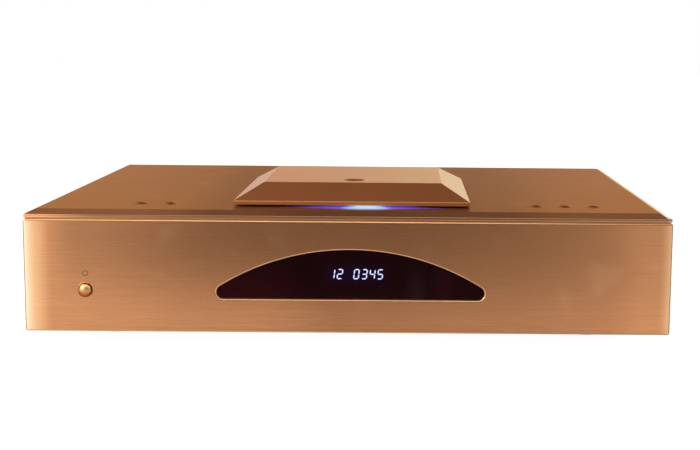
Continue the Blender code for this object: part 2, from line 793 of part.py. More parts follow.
def make_power_switch():
    """The mains switch on two bosses behind the faceplate, open for the button's stem."""
    rear = SWITCH_FRONT + SWITCH_FLANGE_THICK
    half_high = SWITCH_FLANGE_HEIGHT / 2
    half_flange = SWITCH_FLANGE_WIDTH / 2
    half_body = SWITCH_BODY_WIDTH / 2
    switch = place_object(
        "power_switch",
        panel_box(
            POWER_X - half_flange,
            POWER_X + half_flange,
            SWITCH_FRONT,
            rear,
            POWER_Z - half_high,
            POWER_Z + half_high,
        ),
        (POWER_X, depth(SWITCH_FRONT), POWER_Z),
        "black_plastic",
    )
    body = panel_box(
        POWER_X - half_body,
        POWER_X + half_body,
        rear - BITE,
        rear + SWITCH_BODY_LENGTH,
        POWER_Z - half_high + BITE,
        POWER_Z + half_high - BITE,
    )
    fuse(switch, "body", body)
    stem_end = FACE_THICK - SEAT + POWER_STEM_LENGTH + POWER_TRAVEL
    centre = (POWER_X, depth(0), POWER_Z)
    reach = (SWITCH_FRONT - OVERRUN, stem_end + OVERRUN)
    bore = rod(POWER_STEM_RADIUS + RUN, *reach, centre, "Y", SMALL_STEPS)
    cut(switch, "bore", bore)


def key_places():
    """Each key's name and x, and the group it belongs to."""
    left = (("key_previous", -0.5), ("key_next", 0.5))
    right = (("key_stop", -1), ("key_pause", 0), ("key_play", 1))
    return {
        "left": (LEFT_KEYS_X, [(name, LEFT_KEYS_X + steps * KEY_PITCH) for name, steps in left]),
        "right": (RIGHT_KEYS_X, [(name, RIGHT_KEYS_X + steps * KEY_PITCH) for name, steps in right]),
    }


def make_keys():
    """The five keys, each with the flange that keeps it under the top plate."""
    crown = [
        (KEY_RADIUS * share, TOP_Z + KEY_DOME * (1 - share * share)) for share in spaced(1, 0, CROWN_STEPS)
    ]
    profile = [
        (0, KEY_STEM_END),
        (KEY_STEM_RADIUS, KEY_STEM_END),
        (KEY_STEM_RADIUS, PANEL_TOP - KEY_FLANGE_THICK),
        (KEY_FLANGE_RADIUS, PANEL_TOP - KEY_FLANGE_THICK),
        (KEY_FLANGE_RADIUS, PANEL_TOP),
        (KEY_RADIUS, PANEL_TOP),
    ] + crown
    for _, keys in key_places().values():
        for name, x in keys:
            centre = (x, depth(KEY_DEPTH), 0)
            shape = turned(profile, centre, steps=SMALL_STEPS)
            place_object(name, shape, (x, depth(KEY_DEPTH), TOP_Z), "gold")


def make_key_boards():
    """The two small boards under the keys, each with a switch below every key."""
    for side, (middle, keys) in key_places().items():
        half = key_row_half(keys) + KEY_BOARD_END
        board = place_object(
            f"key_board_{side}",
            panel_box(
                middle - half,
                middle + half,
                KEY_DEPTH - KEY_BOARD_WIDTH / 2,
                KEY_DEPTH + KEY_BOARD_WIDTH / 2,
                KEY_BOARD_TOP - BOARD_THICK,
                KEY_BOARD_TOP,
            ),
            (middle, depth(KEY_DEPTH), KEY_BOARD_TOP),
            "board_green",
        )
        reach = KEY_SWITCH_SIDE / 2
        switches = [
            panel_box(
                x - reach,
                x + reach,
                KEY_DEPTH - reach,
                KEY_DEPTH + reach,
                KEY_BOARD_TOP - BITE,
                KEY_BOARD_TOP + KEY_SWITCH_HEIGHT,
            )
            for name, x in keys
        ]
        fuse(board, "switches", together(*switches))


def key_row_half(keys):
    """Half the distance between the outer keys of a row."""
    return (keys[-1][1] - keys[0][1]) / 2


def make_top_plate():
    """The top plate, open for the disc, the lid's blades, the light and the keys."""
    half = FACE_HALF - TOP_INSET
    plate = place_object(
        "top_plate",
        panel_box(-half, half, 0, CASE_DEPTH, TOP_UNDER, TOP_Z),
        (0, depth(WELL_CENTRE_DEPTH), TOP_UNDER),
        "copper_plate",
    )
    round_edges(plate, TOP_ROUND)
    below, above = TOP_UNDER - OVERRUN, TOP_Z + OVERRUN
    well = rod(WELL_RADIUS, below, above, (0, depth(WELL_CENTRE_DEPTH), 0), steps=WELL_STEPS)
    cut(plate, "disc_opening", well)
    slot_half = BLADE_THICK / 2 + RUN
    slots = [
        panel_box(
            side * RUNNER_X - slot_half,
            side * RUNNER_X + slot_half,
            RUNNER_START - RUN,
            RUNNER_REACH + RUN,
            below,
            above,
        )
        for side in (-1, 1)
    ]
    cut(plate, "blade_slots", together(*slots))
    light_low = TOP_Z - LIGHT_SUNK
    cut(plate, "light_pocket", light_box(SEAT, light_low, above))
    holes = []
    bosses = []
    for middle, keys in key_places().values():
        holes += [
            rod(KEY_RADIUS + KEY_RING, below, above, (x, depth(KEY_DEPTH), 0), steps=SMALL_STEPS)
            for name, x in keys
        ]
        reach = key_row_half(keys) + KEY_BOSS_END
        bosses += [
            post(BOSS_RADIUS, KEY_BOARD_TOP + SEAT, TOP_UNDER + BITE, middle + side * reach, KEY_DEPTH)
            for side in (-1, 1)
        ]
    cut(plate, "key_holes", together(*holes))
    fuse(plate, "bosses", together(*bosses))


def light_box(margin, low, high):
    """The light bar's own box, widened all round by a margin."""
    front = LID_FRONT + LIGHT_SETBACK
    half = LIGHT_LENGTH / 2 + margin
    return panel_box(-half, half, front - margin, front + LIGHT_WIDTH + margin, low, high)


def make_well_light():
    """The bar that lights the gap under the lid's front edge."""
    low = TOP_Z - LIGHT_SUNK + SEAT
    place_object(
        "well_light",
        light_box(0, low, TOP_Z + LIGHT_PROUD),
        (0, depth(LID_FRONT + LIGHT_SETBACK), low),
        "light_bar",
    )


def make_feet():
    """Four turned feet under the tray."""
    top = TRAY_LOW - SEAT
    profile = (
        (0, 0),
        (FOOT_RADIUS - FOOT_CHAMFER, 0),
        (FOOT_RADIUS, FOOT_CHAMFER),
        (FOOT_RADIUS, top - FOOT_LIP),
        (FOOT_NECK_RADIUS, top - FOOT_LIP + FOOT_CHAMFER),
        (FOOT_NECK_RADIUS, top),
        (0, top),
    )
    places = {
        "foot_front_left": (-1, FOOT_END_INSET),
        "foot_front_right": (1, FOOT_END_INSET),
        "foot_rear_left": (-1, CASE_DEPTH - FOOT_END_INSET),
        "foot_rear_right": (1, CASE_DEPTH - FOOT_END_INSET),
    }
    for name, (side, distance) in places.items():
        centre = (side * (FACE_HALF - FOOT_SIDE_INSET), depth(distance), 0)
        place_object(name, turned(profile, centre), centre, "rubber")


def lid_ring(inset, height):
    """The lid's four corners at a height, drawn in by an inset."""
    half = LID_WIDTH / 2 - inset
    front = depth(LID_FRONT + inset)
    rear = depth(LID_FRONT + LID_DEPTH - inset)
    return [(-half, front, height), (half, front, height), (half, rear, height), (-half, rear, height)]


def make_lid():
    """The sliding lid: a low pyramid with a flat top, hollow below, with a finger dimple."""
    origin = (0, depth(WELL_CENTRE_DEPTH), LID_LOW)
    lid = place_object(
        "lid",
        lofted(
            [lid_ring(0, LID_LOW), lid_ring(0, LID_LOW + LID_EDGE), lid_ring(LID_SLOPE_RUN, LID_HIGH)]
        ),
        origin,
        "blasted_copper",
    )
    round_edges(lid, LID_ROUND)
    ceiling = LID_HIGH - LID_ROOF
    slope = (LID_POCKET_RADIUS - LID_POCKET_TOP_RADIUS) / (ceiling - LID_LOW)
    mouth = LID_POCKET_RADIUS + slope * OVERRUN
    start = LID_LOW - OVERRUN
    profile = ((0, start), (mouth, start), (LID_POCKET_TOP_RADIUS, ceiling), (0, ceiling))
    pocket = turned(profile, (0, depth(WELL_CENTRE_DEPTH), 0), steps=FINE_STEPS)
    cut(lid, "pocket", pocket)
    bowl_radius = (DIMPLE_RADIUS**2 + DIMPLE_DEPTH**2) / (2 * DIMPLE_DEPTH)
    bowl_centre = LID_HIGH - DIMPLE_DEPTH + bowl_radius
    reach = math.asin((DIMPLE_RADIUS + OVERRUN) / bowl_radius)
    bowl = [
        (bowl_radius * math.sin(angle), bowl_centre - bowl_radius * math.cos(angle))
        for angle in spaced(0, reach, CORNER_STEPS)
    ]
    bowl.append((0, bowl[-1][1]))
    centre = (0, depth(LID_FRONT + LID_SLOPE_RUN + DIMPLE_SETBACK), 0)
    cut(lid, "dimple", turned(bowl, centre))
    carry([lid, *make_runners()], "lid_carrier", origin)


def make_runners():
    """The two runners: a blade through the top plate's slot, and a foot that rides in the rail."""
    made = []
    foot_high = TOP_UNDER - RUN
    for name, side in (("lid_runner_left", -1), ("lid_runner_right", 1)):
        x = side * RUNNER_X
        half_foot = RUNNER_FOOT_WIDTH / 2
        runner = place_object(
            name,
            panel_box(
                x - half_foot,
                x + half_foot,
                RUNNER_START,
                RUNNER_START + RUNNER_LENGTH,
                foot_high - RUNNER_FOOT_THICK,
                foot_high,
            ),
            (x, depth(RUNNER_START), foot_high),
            "black_plastic",
        )
        blade = panel_box(
            x - BLADE_THICK / 2,
            x + BLADE_THICK / 2,
            RUNNER_START,
            RUNNER_START + RUNNER_LENGTH,
            foot_high - BITE,
            LID_LOW - SEAT,
        )
        fuse(runner, "blade", blade)
        made.append(runner)
    return made


def make_rails():
    """The two channels under the top plate that the runners ride in."""
    front, rear = RUNNER_START - RUN, RUNNER_REACH + RUN
    half_channel = RAIL_HALF - RAIL_WALL
    for name, side in (("lid_rail_left", -1), ("lid_rail_right", 1)):
        x = side * RUNNER_X
        low = PANEL_TOP - RAIL_HEIGHT
        rail = place_object(
            name,
            panel_box(x - RAIL_HALF, x + RAIL_HALF, front - RAIL_END, rear + RAIL_END, low, PANEL_TOP),
            (x, depth(front), low),
            "zinc_steel",
        )
        floor = low + RAIL_WALL
        channel = panel_box(x - half_channel, x + half_channel, front, rear, floor, PANEL_TOP + OVERRUN)
        cut(rail, "channel", channel)


def make_disc_well():
    """The round well under the top plate, open for the spindle and for the pickup's lens."""
    centre = (0, depth(WELL_CENTRE_DEPTH), 0)
    profile = (
        (WELL_CENTRE_HOLE, WELL_FLOOR_LOW),
        (WELL_OUTER, WELL_FLOOR_LOW),
        (WELL_OUTER, PANEL_TOP - WELL_FLANGE_THICK),
        (WELL_FLANGE_RADIUS, PANEL_TOP - WELL_FLANGE_THICK),
        (WELL_FLANGE_RADIUS, PANEL_TOP),
        (WELL_RADIUS, PANEL_TOP),
        (WELL_RADIUS, WELL_FLOOR_TOP),
        (WELL_CENTRE_HOLE, WELL_FLOOR_TOP),
    )
    origin = (0, depth(WELL_CENTRE_DEPTH), WELL_FLOOR_LOW)
    well = place_object("disc_well", turned(profile, centre, steps=WELL_STEPS), origin, "black_plastic")
    room = LENS_RADIUS + RUN
    slot = panel_box(
        -LENS_SLOT_WIDTH / 2,
        LENS_SLOT_WIDTH / 2,
        WELL_CENTRE_DEPTH - LENS_END_RADIUS - room,
        WELL_CENTRE_DEPTH - LENS_REST_RADIUS + room,
        WELL_FLOOR_LOW - OVERRUN,
        WELL_FLOOR_TOP + OVERRUN,
    )
    cut(well, "lens_slot", slot)


def make_transport_base():
    """The plate under the mechanism, with the four posts that hold the rods."""
    base = place_object(
        "transport_base",
        panel_box(
            -BASE_PLATE_LEFT,
            BASE_PLATE_RIGHT,
            BASE_PLATE_FRONT,
            BASE_PLATE_BACK,
            BASE_PLATE_LOW,
            BASE_PLATE_TOP,
        ),
        (0, depth(WELL_CENTRE_DEPTH), BASE_PLATE_LOW),
        "zinc_steel",
    )
    post_high = SLED_MIDDLE + POST_RISE
    posts = [
        panel_box(
            side * ROD_X - POST_WIDTH / 2,
            side * ROD_X + POST_WIDTH / 2,
            front,
            front + POST_LENGTH,
            BASE_PLATE_TOP - BITE,
            post_high,
        )
        for side in (-1, 1)
        for front in (FRONT_POST_FRONT, REAR_POST_FRONT)
    ]
    fuse(base, "posts", together(*posts))
    cut(base, "rod_bores", together(*(rod_shape(side * ROD_X, SEAT) for side in (-1, 1))))


def rod_shape(x, margin):
    """One guide rod, thickened and lengthened by a margin."""
    front = FRONT_POST_REAR - ROD_GRIP - margin
    rear = REAR_POST_FRONT + ROD_GRIP + margin
    return rod(ROD_RADIUS + margin, front, rear, (x, depth(0), SLED_MIDDLE), "Y", SMALL_STEPS)


def make_guide_rods():
    """The two steel rods that the pickup slides on."""
    for name, side in (("guide_rod_left", -1), ("guide_rod_right", 1)):
        x = side * ROD_X
        place_object(name, rod_shape(x, 0), (x, depth(FRONT_POST_REAR), SLED_MIDDLE), "polished_steel")


def make_isolators():
    """The rubber mounts between the tray's stands and the transport base."""
    high = BASE_PLATE_LOW - SEAT
    low = high - ISOLATOR_HEIGHT
    third = ISOLATOR_HEIGHT / 3
    profile = (
        (0, low),
        (ISOLATOR_RADIUS, low),
        (ISOLATOR_RADIUS, low + third),
        (ISOLATOR_WAIST, low + ISOLATOR_HEIGHT / 2),
        (ISOLATOR_RADIUS, high - third),
        (ISOLATOR_RADIUS, high),
        (0, high),
    )
    for number, (x, distance) in enumerate(isolator_places(), 1):
        centre = (x, depth(distance), 0)
        shape = turned(profile, centre, steps=SMALL_STEPS)
        place_object(f"isolator_{number}", shape, (x, depth(distance), low), "rubber")


def make_spindle():
    """The spindle motor, the hub that carries the disc and the puck that holds it down."""
    centre = (0, depth(WELL_CENTRE_DEPTH), 0)
    axis = (0, depth(WELL_CENTRE_DEPTH), DISC_SEAT_Z)
    place_object("spindle_motor", rod(MOTOR_RADIUS, MOTOR_LOW, MOTOR_TOP, centre), axis, "zinc_steel")
    boss_high = DISC_SEAT_Z + HUB_BOSS_HEIGHT
    hub_profile = (
        (0, MOTOR_TOP + SEAT),
        (SPINDLE_RADIUS, MOTOR_TOP + SEAT),
        (SPINDLE_RADIUS, HUB_LOW),
        (TURNTABLE_RADIUS, HUB_LOW),
        (TURNTABLE_RADIUS, DISC_SEAT_Z),
        (HUB_BOSS_RADIUS, DISC_SEAT_Z),
        (HUB_BOSS_RADIUS, boss_high - HUB_CHAMFER),
        (HUB_BOSS_RADIUS - HUB_CHAMFER, boss_high),
        (0, boss_high),
    )
    hub = place_object("spindle_hub", turned(hub_profile, centre), axis, "polished_steel")
    low = DISC_SEAT_Z + SEAT
    high = low + PUCK_HEIGHT
    puck_profile = (
        (0, low + PUCK_RECESS_DEPTH),
        (PUCK_RECESS_RADIUS, low + PUCK_RECESS_DEPTH),
        (PUCK_RECESS_RADIUS, low),
        (PUCK_RADIUS, low),
        (PUCK_RADIUS, low + PUCK_RIM - PUCK_ROUND),
        (PUCK_RADIUS - PUCK_ROUND, low + PUCK_RIM),
        (PUCK_KNOB_RADIUS + PUCK_ROUND, low + PUCK_RIM + PUCK_ROUND),
        (PUCK_KNOB_RADIUS, low + PUCK_RIM + PUCK_ROUND * 2),
        (PUCK_KNOB_RADIUS, high - PUCK_ROUND),
        (PUCK_KNOB_RADIUS - PUCK_ROUND, high),
        (0, high),
    )
    puck = place_object("disc_puck", turned(puck_profile, centre), axis, "black_plastic")
    carry([hub, puck], "spindle_carrier", axis)


def tooth_outline(radius, at):
    """One tooth's four corners, rising from a pitch circle's root, at an angle."""
    root, tip = radius - TOOTH_ROOT, radius + TOOTH_TIP
    root_turn = TOOTH_HALF_ROOT_WIDTH / root
    tip_turn = TOOTH_HALF_TIP_WIDTH / tip
    pitch_turn = TOOTH_HALF_PITCH_WIDTH / radius
    corners = (
        (root, -root_turn),
        (radius, -pitch_turn),
        (tip, -tip_turn),
        (tip, tip_turn),
        (radius, pitch_turn),
        (root, root_turn),
    )
    return [(reach * math.cos(at + turn), reach * math.sin(at + turn)) for reach, turn in corners]


def gear_wheel(radius, teeth, first, centre_x, low, high):
    """A spur wheel whose first tooth stands at an angle, at the feed's depth."""
    outline = []
    for number in range(teeth):
        outline += tooth_outline(radius, first + number * math.tau / teeth)
    ring = [(centre_x + x, depth(GEAR_DEPTH) + y) for x, y in outline]
    return lofted([flat_ring(ring, low), flat_ring(ring, high)])


def make_feed_gears():
    """The wheel that drives the pickup's rack, the pin that it turns on, and the pinion."""
    centre = (GEAR_X, depth(GEAR_DEPTH), 0)
    half_tooth = math.pi / GEAR_TEETH
    wheel = place_object(
        "feed_gear",
        gear_wheel(GEAR_RADIUS, GEAR_TEETH, half_tooth, GEAR_X, GEAR_LOW, GEAR_HIGH),
        (GEAR_X, depth(GEAR_DEPTH), GEAR_LOW),
        "white_plastic",
    )
    bore = rod(PIN_RADIUS + SEAT, GEAR_LOW - OVERRUN, GEAR_HIGH + OVERRUN, centre, steps=SMALL_STEPS)
    cut(wheel, "bore", bore)
    pin_profile = (
        (0, BASE_PLATE_TOP + SEAT),
        (PIN_SHOULDER_RADIUS, BASE_PLATE_TOP + SEAT),
        (PIN_SHOULDER_RADIUS, GEAR_LOW - SEAT),
        (PIN_RADIUS, GEAR_LOW - SEAT),
        (PIN_RADIUS, GEAR_HIGH + SEAT),
        (PIN_HEAD_RADIUS, GEAR_HIGH + SEAT),
        (PIN_HEAD_RADIUS, GEAR_HIGH + SEAT + PIN_HEAD_THICK),
        (0, GEAR_HIGH + SEAT + PIN_HEAD_THICK),
    )
    pin = turned(pin_profile, centre, steps=SMALL_STEPS)
    place_object("gear_pin", pin, (GEAR_X, depth(GEAR_DEPTH), GEAR_LOW), "polished_steel")
    motor_high = BASE_PLATE_TOP + SEAT + FEED_MOTOR_HEIGHT
    motor_centre = (PINION_X, depth(GEAR_DEPTH), 0)
    place_object(
        "feed_motor",
        rod(FEED_MOTOR_RADIUS, BASE_PLATE_TOP + SEAT, motor_high, motor_centre),
        (PINION_X, depth(GEAR_DEPTH), motor_high),
        "zinc_steel",
    )
    place_object(
        "feed_pinion",
        gear_wheel(PINION_RADIUS, PINION_TEETH, math.pi, PINION_X, motor_high + SEAT, GEAR_HIGH + SEAT),
        (PINION_X, depth(GEAR_DEPTH), motor_high + SEAT),
        "white_plastic",
    )


def make_pickup():
    """The pickup's sled with its rack, and the lens on top of it."""
    front = SLED_CENTRE_DEPTH - SLED_LENGTH / 2
    half = SLED_WIDTH / 2
    origin = (0, depth(SLED_CENTRE_DEPTH), SLED_MIDDLE)
    sled = place_object(
        "pickup_sled",
        panel_box(-half, half, front, front + SLED_LENGTH, SLED_LOW, SLED_TOP),
        origin,
        "black_plastic",
    )
    fuse(sled, "rack", rack())
    reach = (front - OVERRUN, front + SLED_LENGTH + OVERRUN)
    bores = [
        rod(ROD_RADIUS + SEAT, *reach, (side * ROD_X, depth(0), SLED_MIDDLE), "Y", SMALL_STEPS)
        for side in (-1, 1)
    ]
    cut(sled, "rod_bores", together(*bores))
    lens_top = DISC_SEAT_Z - LENS_GAP
    lens_centre = (0, depth(SLED_CENTRE_DEPTH), 0)
    lens_profile = (
        (0, SLED_TOP + SEAT),
        (LENS_RADIUS, SLED_TOP + SEAT),
        (LENS_RADIUS, lens_top - LENS_RADIUS / 4),
        (LENS_RADIUS * 3 / 4, lens_top),
        (0, lens_top),
    )
    barrel = turned(lens_profile, lens_centre, steps=SMALL_STEPS)
    lens = place_object("pickup_lens", barrel, origin, "optic")
    carry([sled, lens], "pickup_carrier", origin)


def rack():
    """The toothed bar along the sled's right side, in mesh with the feed gear at rest."""
    count = math.ceil(SLED_TRAVEL / TOOTH_PITCH) + RACK_SPARE_TEETH
    root_x, tip_x = PITCH_LINE_X - TOOTH_ROOT, PITCH_LINE_X + TOOTH_TIP
    middles = [depth(GEAR_DEPTH + (number - 1) * TOOTH_PITCH) for number in range(count)]
    ends = (middles[0] - TOOTH_PITCH / 2, middles[-1] + TOOTH_PITCH / 2)
    outline = [(SLED_WIDTH / 2 - BITE * 2, ends[0]), (root_x, ends[0])]
    for middle in middles:
        outline += [
            (root_x, middle - TOOTH_HALF_ROOT_WIDTH),
            (PITCH_LINE_X, middle - TOOTH_HALF_PITCH_WIDTH),
            (tip_x, middle - TOOTH_HALF_TIP_WIDTH),
            (tip_x, middle + TOOTH_HALF_TIP_WIDTH),
            (PITCH_LINE_X, middle + TOOTH_HALF_PITCH_WIDTH),
            (root_x, middle + TOOTH_HALF_ROOT_WIDTH),
        ]
    outline += [(root_x, ends[1]), (SLED_WIDTH / 2 - BITE * 2, ends[1])]
    return lofted([flat_ring(outline, GEAR_LOW), flat_ring(outline, GEAR_HIGH)])


def make_transformer():
    """The ring-shaped mains transformer and the dished clamp that its pillar holds."""
    centre = (TORUS_X, depth(TORUS_DEPTH), 0)
    profile = (
        (TORUS_HOLE_RADIUS, TORUS_LOW + TORUS_ROUND),
        (TORUS_HOLE_RADIUS + TORUS_ROUND, TORUS_LOW),
        (TORUS_RADIUS - TORUS_ROUND, TORUS_LOW),
        (TORUS_RADIUS, TORUS_LOW + TORUS_ROUND),
        (TORUS_RADIUS, TORUS_HIGH - TORUS_ROUND),
        (TORUS_RADIUS - TORUS_ROUND, TORUS_HIGH),
        (TORUS_HOLE_RADIUS + TORUS_ROUND, TORUS_HIGH),
        (TORUS_HOLE_RADIUS, TORUS_HIGH - TORUS_ROUND),
    )
    place_object("transformer", turned(profile, centre, steps=TORUS_STEPS), centre, "winding")
    low = TORUS_HIGH + SEAT
    high = low + CLAMP_THICK
    hole = PILLAR_RADIUS + SEAT
    clamp_profile = (
        (hole, low),
        (CLAMP_RADIUS, low),
        (CLAMP_RADIUS, high + CLAMP_LIP),
        (CLAMP_RADIUS - CLAMP_THICK, high + CLAMP_LIP),
        (CLAMP_RADIUS - CLAMP_THICK * 2, high),
        (hole, high),
    )
    clamp = turned(clamp_profile, centre)
    place_object("transformer_clamp", clamp, (TORUS_X, depth(TORUS_DEPTH), low), "zinc_steel")


def make_board(name, left, width, front, length, block_shares):
    """A board on its posts, with blocks fused on at shares of its width and length."""
    high = BOARD_LOW + BOARD_THICK
    board = place_object(
        name,
        panel_box(left, left + width, front, front + length, BOARD_LOW, high),
        (left + width / 2, depth(front + length / 2), BOARD_LOW),
        "board_green",
    )
    blocks = []
    for number, (across, along, wide, long) in enumerate(block_shares):
        middle_x = left + width * across
        middle_depth = front + length * along
        height = RELAY_HEIGHT if number == 0 else CHIP_HEIGHT
        blocks.append(
            panel_box(
                middle_x - width * wide / 2,
                middle_x + width * wide / 2,
                middle_depth - length * long / 2,
                middle_depth + length * long / 2,
                high - BITE,
                high + height,
            )
        )
    fuse(board, "blocks", together(*blocks))


def make_boards():
    """The main board, its two filter capacitors and the servo board."""
    make_board(
        "main_board",
        MAIN_BOARD_LEFT,
        MAIN_BOARD_WIDTH,
        MAIN_BOARD_DEPTH,
        MAIN_BOARD_LENGTH,
        MAIN_BLOCK_SHARES,
    )
    make_board(
        "servo_board",
        SERVO_BOARD_LEFT,
        SERVO_BOARD_WIDTH,
        SERVO_BOARD_DEPTH,
        SERVO_BOARD_LENGTH,
        SERVO_BLOCK_SHARES,
    )
    low = BOARD_LOW + BOARD_THICK + SEAT
    high = low + CAPACITOR_HEIGHT
    profile = (
        (0, low),
        (CAPACITOR_RADIUS, low),
        (CAPACITOR_RADIUS, high - CAPACITOR_ROUND),
        (CAPACITOR_RADIUS - CAPACITOR_ROUND, high),
        (0, high),
    )
    middle_depth = MAIN_BOARD_DEPTH + MAIN_BOARD_LENGTH / 2 - CAPACITOR_RADIUS
    for number in (0, 1):
        x = MAIN_BOARD_LEFT + CAPACITOR_PITCH * (number + 1 / 2) + CAPACITOR_RADIUS
        centre = (x, depth(middle_depth), 0)
        shape = turned(profile, centre)
        place_object(f"filter_capacitor_{number + 1}", shape, (x, depth(middle_depth), low), "sleeve_blue")


def make_sockets():
    """The round sockets, each clamped on the rear panel between its flange and its nut."""
    rear = REAR_OUTER + SEAT
    nut_high = REAR_INNER - SEAT
    end = CASE_DEPTH + SOCKET_PROUD
    profile = (
        (0, nut_high - SOCKET_NUT_THICK - SOCKET_TAIL),
        (SOCKET_SHANK_RADIUS, nut_high - SOCKET_NUT_THICK - SOCKET_TAIL),
        (SOCKET_SHANK_RADIUS, nut_high - SOCKET_NUT_THICK),
        (SOCKET_FLANGE_RADIUS, nut_high - SOCKET_NUT_THICK),
        (SOCKET_FLANGE_RADIUS, nut_high),
        (SOCKET_SHANK_RADIUS, nut_high),
        (SOCKET_SHANK_RADIUS, rear),
        (SOCKET_FLANGE_RADIUS, rear),
        (SOCKET_FLANGE_RADIUS, rear + SOCKET_FLANGE_THICK),
        (SOCKET_BARREL_RADIUS, rear + SOCKET_FLANGE_THICK),
        (SOCKET_BARREL_RADIUS, end),
        (SOCKET_BORE_RADIUS, end),
        (SOCKET_BORE_RADIUS, end - SOCKET_BORE_DEPTH),
        (0, end - SOCKET_BORE_DEPTH),
    )
    for name, x in socket_places().items():
        centre = (x, depth(0), SOCKET_Z)
        shape = turned(profile, centre, "Y", SMALL_STEPS)
        place_object(name, shape, (x, depth(REAR_OUTER), SOCKET_Z), "gold")


def make_mains_inlet():
    """The three-pin mains inlet in the rear panel."""
    rear = REAR_OUTER + SEAT
    mouth = rear + INLET_FLANGE_THICK
    half_wide, half_high = INLET_WIDTH / 2, INLET_HEIGHT / 2
    inlet = place_object(
        "iec_inlet",
        panel_box(
            INLET_X - INLET_FLANGE_WIDTH / 2,
            INLET_X + INLET_FLANGE_WIDTH / 2,
            rear,
            mouth,
            SOCKET_Z - INLET_FLANGE_HEIGHT / 2,
            SOCKET_Z + INLET_FLANGE_HEIGHT / 2,
        ),
        (INLET_X, depth(REAR_OUTER), SOCKET_Z),
        "black_plastic",
    )
    body = panel_box(
        INLET_X - half_wide,
        INLET_X + half_wide,
        rear - INLET_LENGTH,
        rear + BITE,
        SOCKET_Z - half_high,
        SOCKET_Z + half_high,
    )
    fuse(inlet, "body", body)
    floor = rear - INLET_LENGTH + INLET_FLOOR
    cavity = panel_box(
        INLET_X - half_wide + INLET_WALL,
        INLET_X + half_wide - INLET_WALL,
        floor,
        mouth + OVERRUN,
        SOCKET_Z - half_high + INLET_WALL,
        SOCKET_Z + half_high - INLET_WALL,
    )
    cut(inlet, "cavity", cavity)
    pins = []
    for side, rise in ((-1, 0), (0, INLET_EARTH_RISE), (1, 0)):
        x = INLET_X + side * INLET_PIN_PITCH
        z = SOCKET_Z + rise
        pins.append(
            panel_box(
                x - INLET_PIN_WIDTH / 2,
                x + INLET_PIN_WIDTH / 2,
                floor - BITE,
                floor + INLET_PIN_LENGTH,
                z - INLET_PIN_HEIGHT / 2,
                z + INLET_PIN_HEIGHT / 2,
            )
        )
    fuse(inlet, "pins", together(*pins))


def main():
    """Builds the player from the outside in."""
    clear_scene()
    make_base_tray()
    make_side_panels()
    make_rear_panel()
    make_faceplate()
    make_top_plate()
    make_feet()
    make_window_lens()
    make_display()
    make_power_button()
    make_power_switch()
    make_keys()
    make_key_boards()
    make_lid()
    make_rails()
    make_well_light()
    make_disc_well()
    make_transport_base()
    make_guide_rods()
    make_isolators()
    make_spindle()
    make_feed_gears()
    make_pickup()
    make_transformer()
    make_boards()
    make_sockets()
    make_mains_inlet()


main()
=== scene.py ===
"""Looks of a top-loading disc player in brushed and blasted copper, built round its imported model.

Lengths are in metres, in the model's own frame: +X is to the right seen from the front, the front
faces -Y and +Z is up. "Depth" means the distance behind the front plane.
"""

import logging
import math
from collections.abc import Callable, Iterator, Sequence
from contextlib import contextmanager
from dataclasses import dataclass, field, replace
from enum import Enum
from functools import cache

import bmesh
import bpy
from mathutils import Matrix, Vector


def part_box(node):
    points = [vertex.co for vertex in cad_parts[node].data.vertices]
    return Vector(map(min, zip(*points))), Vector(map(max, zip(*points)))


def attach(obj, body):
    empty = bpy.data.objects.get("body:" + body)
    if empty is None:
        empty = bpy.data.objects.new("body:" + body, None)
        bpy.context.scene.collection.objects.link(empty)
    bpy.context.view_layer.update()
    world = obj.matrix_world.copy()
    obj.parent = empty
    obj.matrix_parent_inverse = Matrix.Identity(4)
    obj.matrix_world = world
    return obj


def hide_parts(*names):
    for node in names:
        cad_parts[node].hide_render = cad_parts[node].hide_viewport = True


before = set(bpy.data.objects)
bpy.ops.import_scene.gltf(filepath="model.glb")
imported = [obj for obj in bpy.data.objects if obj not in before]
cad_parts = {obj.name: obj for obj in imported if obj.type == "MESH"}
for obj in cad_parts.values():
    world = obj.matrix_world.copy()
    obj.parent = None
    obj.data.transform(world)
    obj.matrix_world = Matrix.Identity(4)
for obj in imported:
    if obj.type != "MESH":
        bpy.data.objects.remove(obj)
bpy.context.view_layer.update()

Piece = bpy.types.Object
Socket = bpy.types.NodeSocket
Point = Sequence[float]
Colour = tuple[float, float, float]

log = logging.getLogger("player")

MM = 0.001
SEAT = 0.3 * MM
OVERRUN = 2 * MM
BITE = 0.8 * MM
HAIR = 0.01 * MM
MERGE = 0.001 * MM
SMOOTH_ANGLE = math.radians(38)
FULL_TURN = math.tau


class Along(Enum):
    """The axis that a turned piece lies on."""

    Y = (0.0, 1.0, 0.0)
    Z = (0.0, 0.0, 1.0)


class Segment(Enum):
    """One bar of a seven-bar numeral, as (column, row) of its middle, in half numerals."""

    TOP = (0, 2)
    UPPER_RIGHT = (1, 1)
    LOWER_RIGHT = (1, -1)
    BOTTOM = (0, -2)
    LOWER_LEFT = (-1, -1)
    UPPER_LEFT = (-1, 1)
    MIDDLE = (0, 0)


NUMERALS = {
    "0": "TOP UPPER_RIGHT LOWER_RIGHT BOTTOM LOWER_LEFT UPPER_LEFT",
    "1": "UPPER_RIGHT LOWER_RIGHT",
    "2": "TOP UPPER_RIGHT MIDDLE LOWER_LEFT BOTTOM",
    "3": "TOP UPPER_RIGHT MIDDLE LOWER_RIGHT BOTTOM",
    "4": "UPPER_LEFT MIDDLE UPPER_RIGHT LOWER_RIGHT",
    "5": "TOP UPPER_LEFT MIDDLE LOWER_RIGHT BOTTOM",
}


def lay_down() -> None:
    """Leaves edit mode and deselects everything."""
    if bpy.context.mode != "OBJECT":
        bpy.ops.object.mode_set(mode="OBJECT")
    bpy.ops.object.select_all(action="DESELECT")


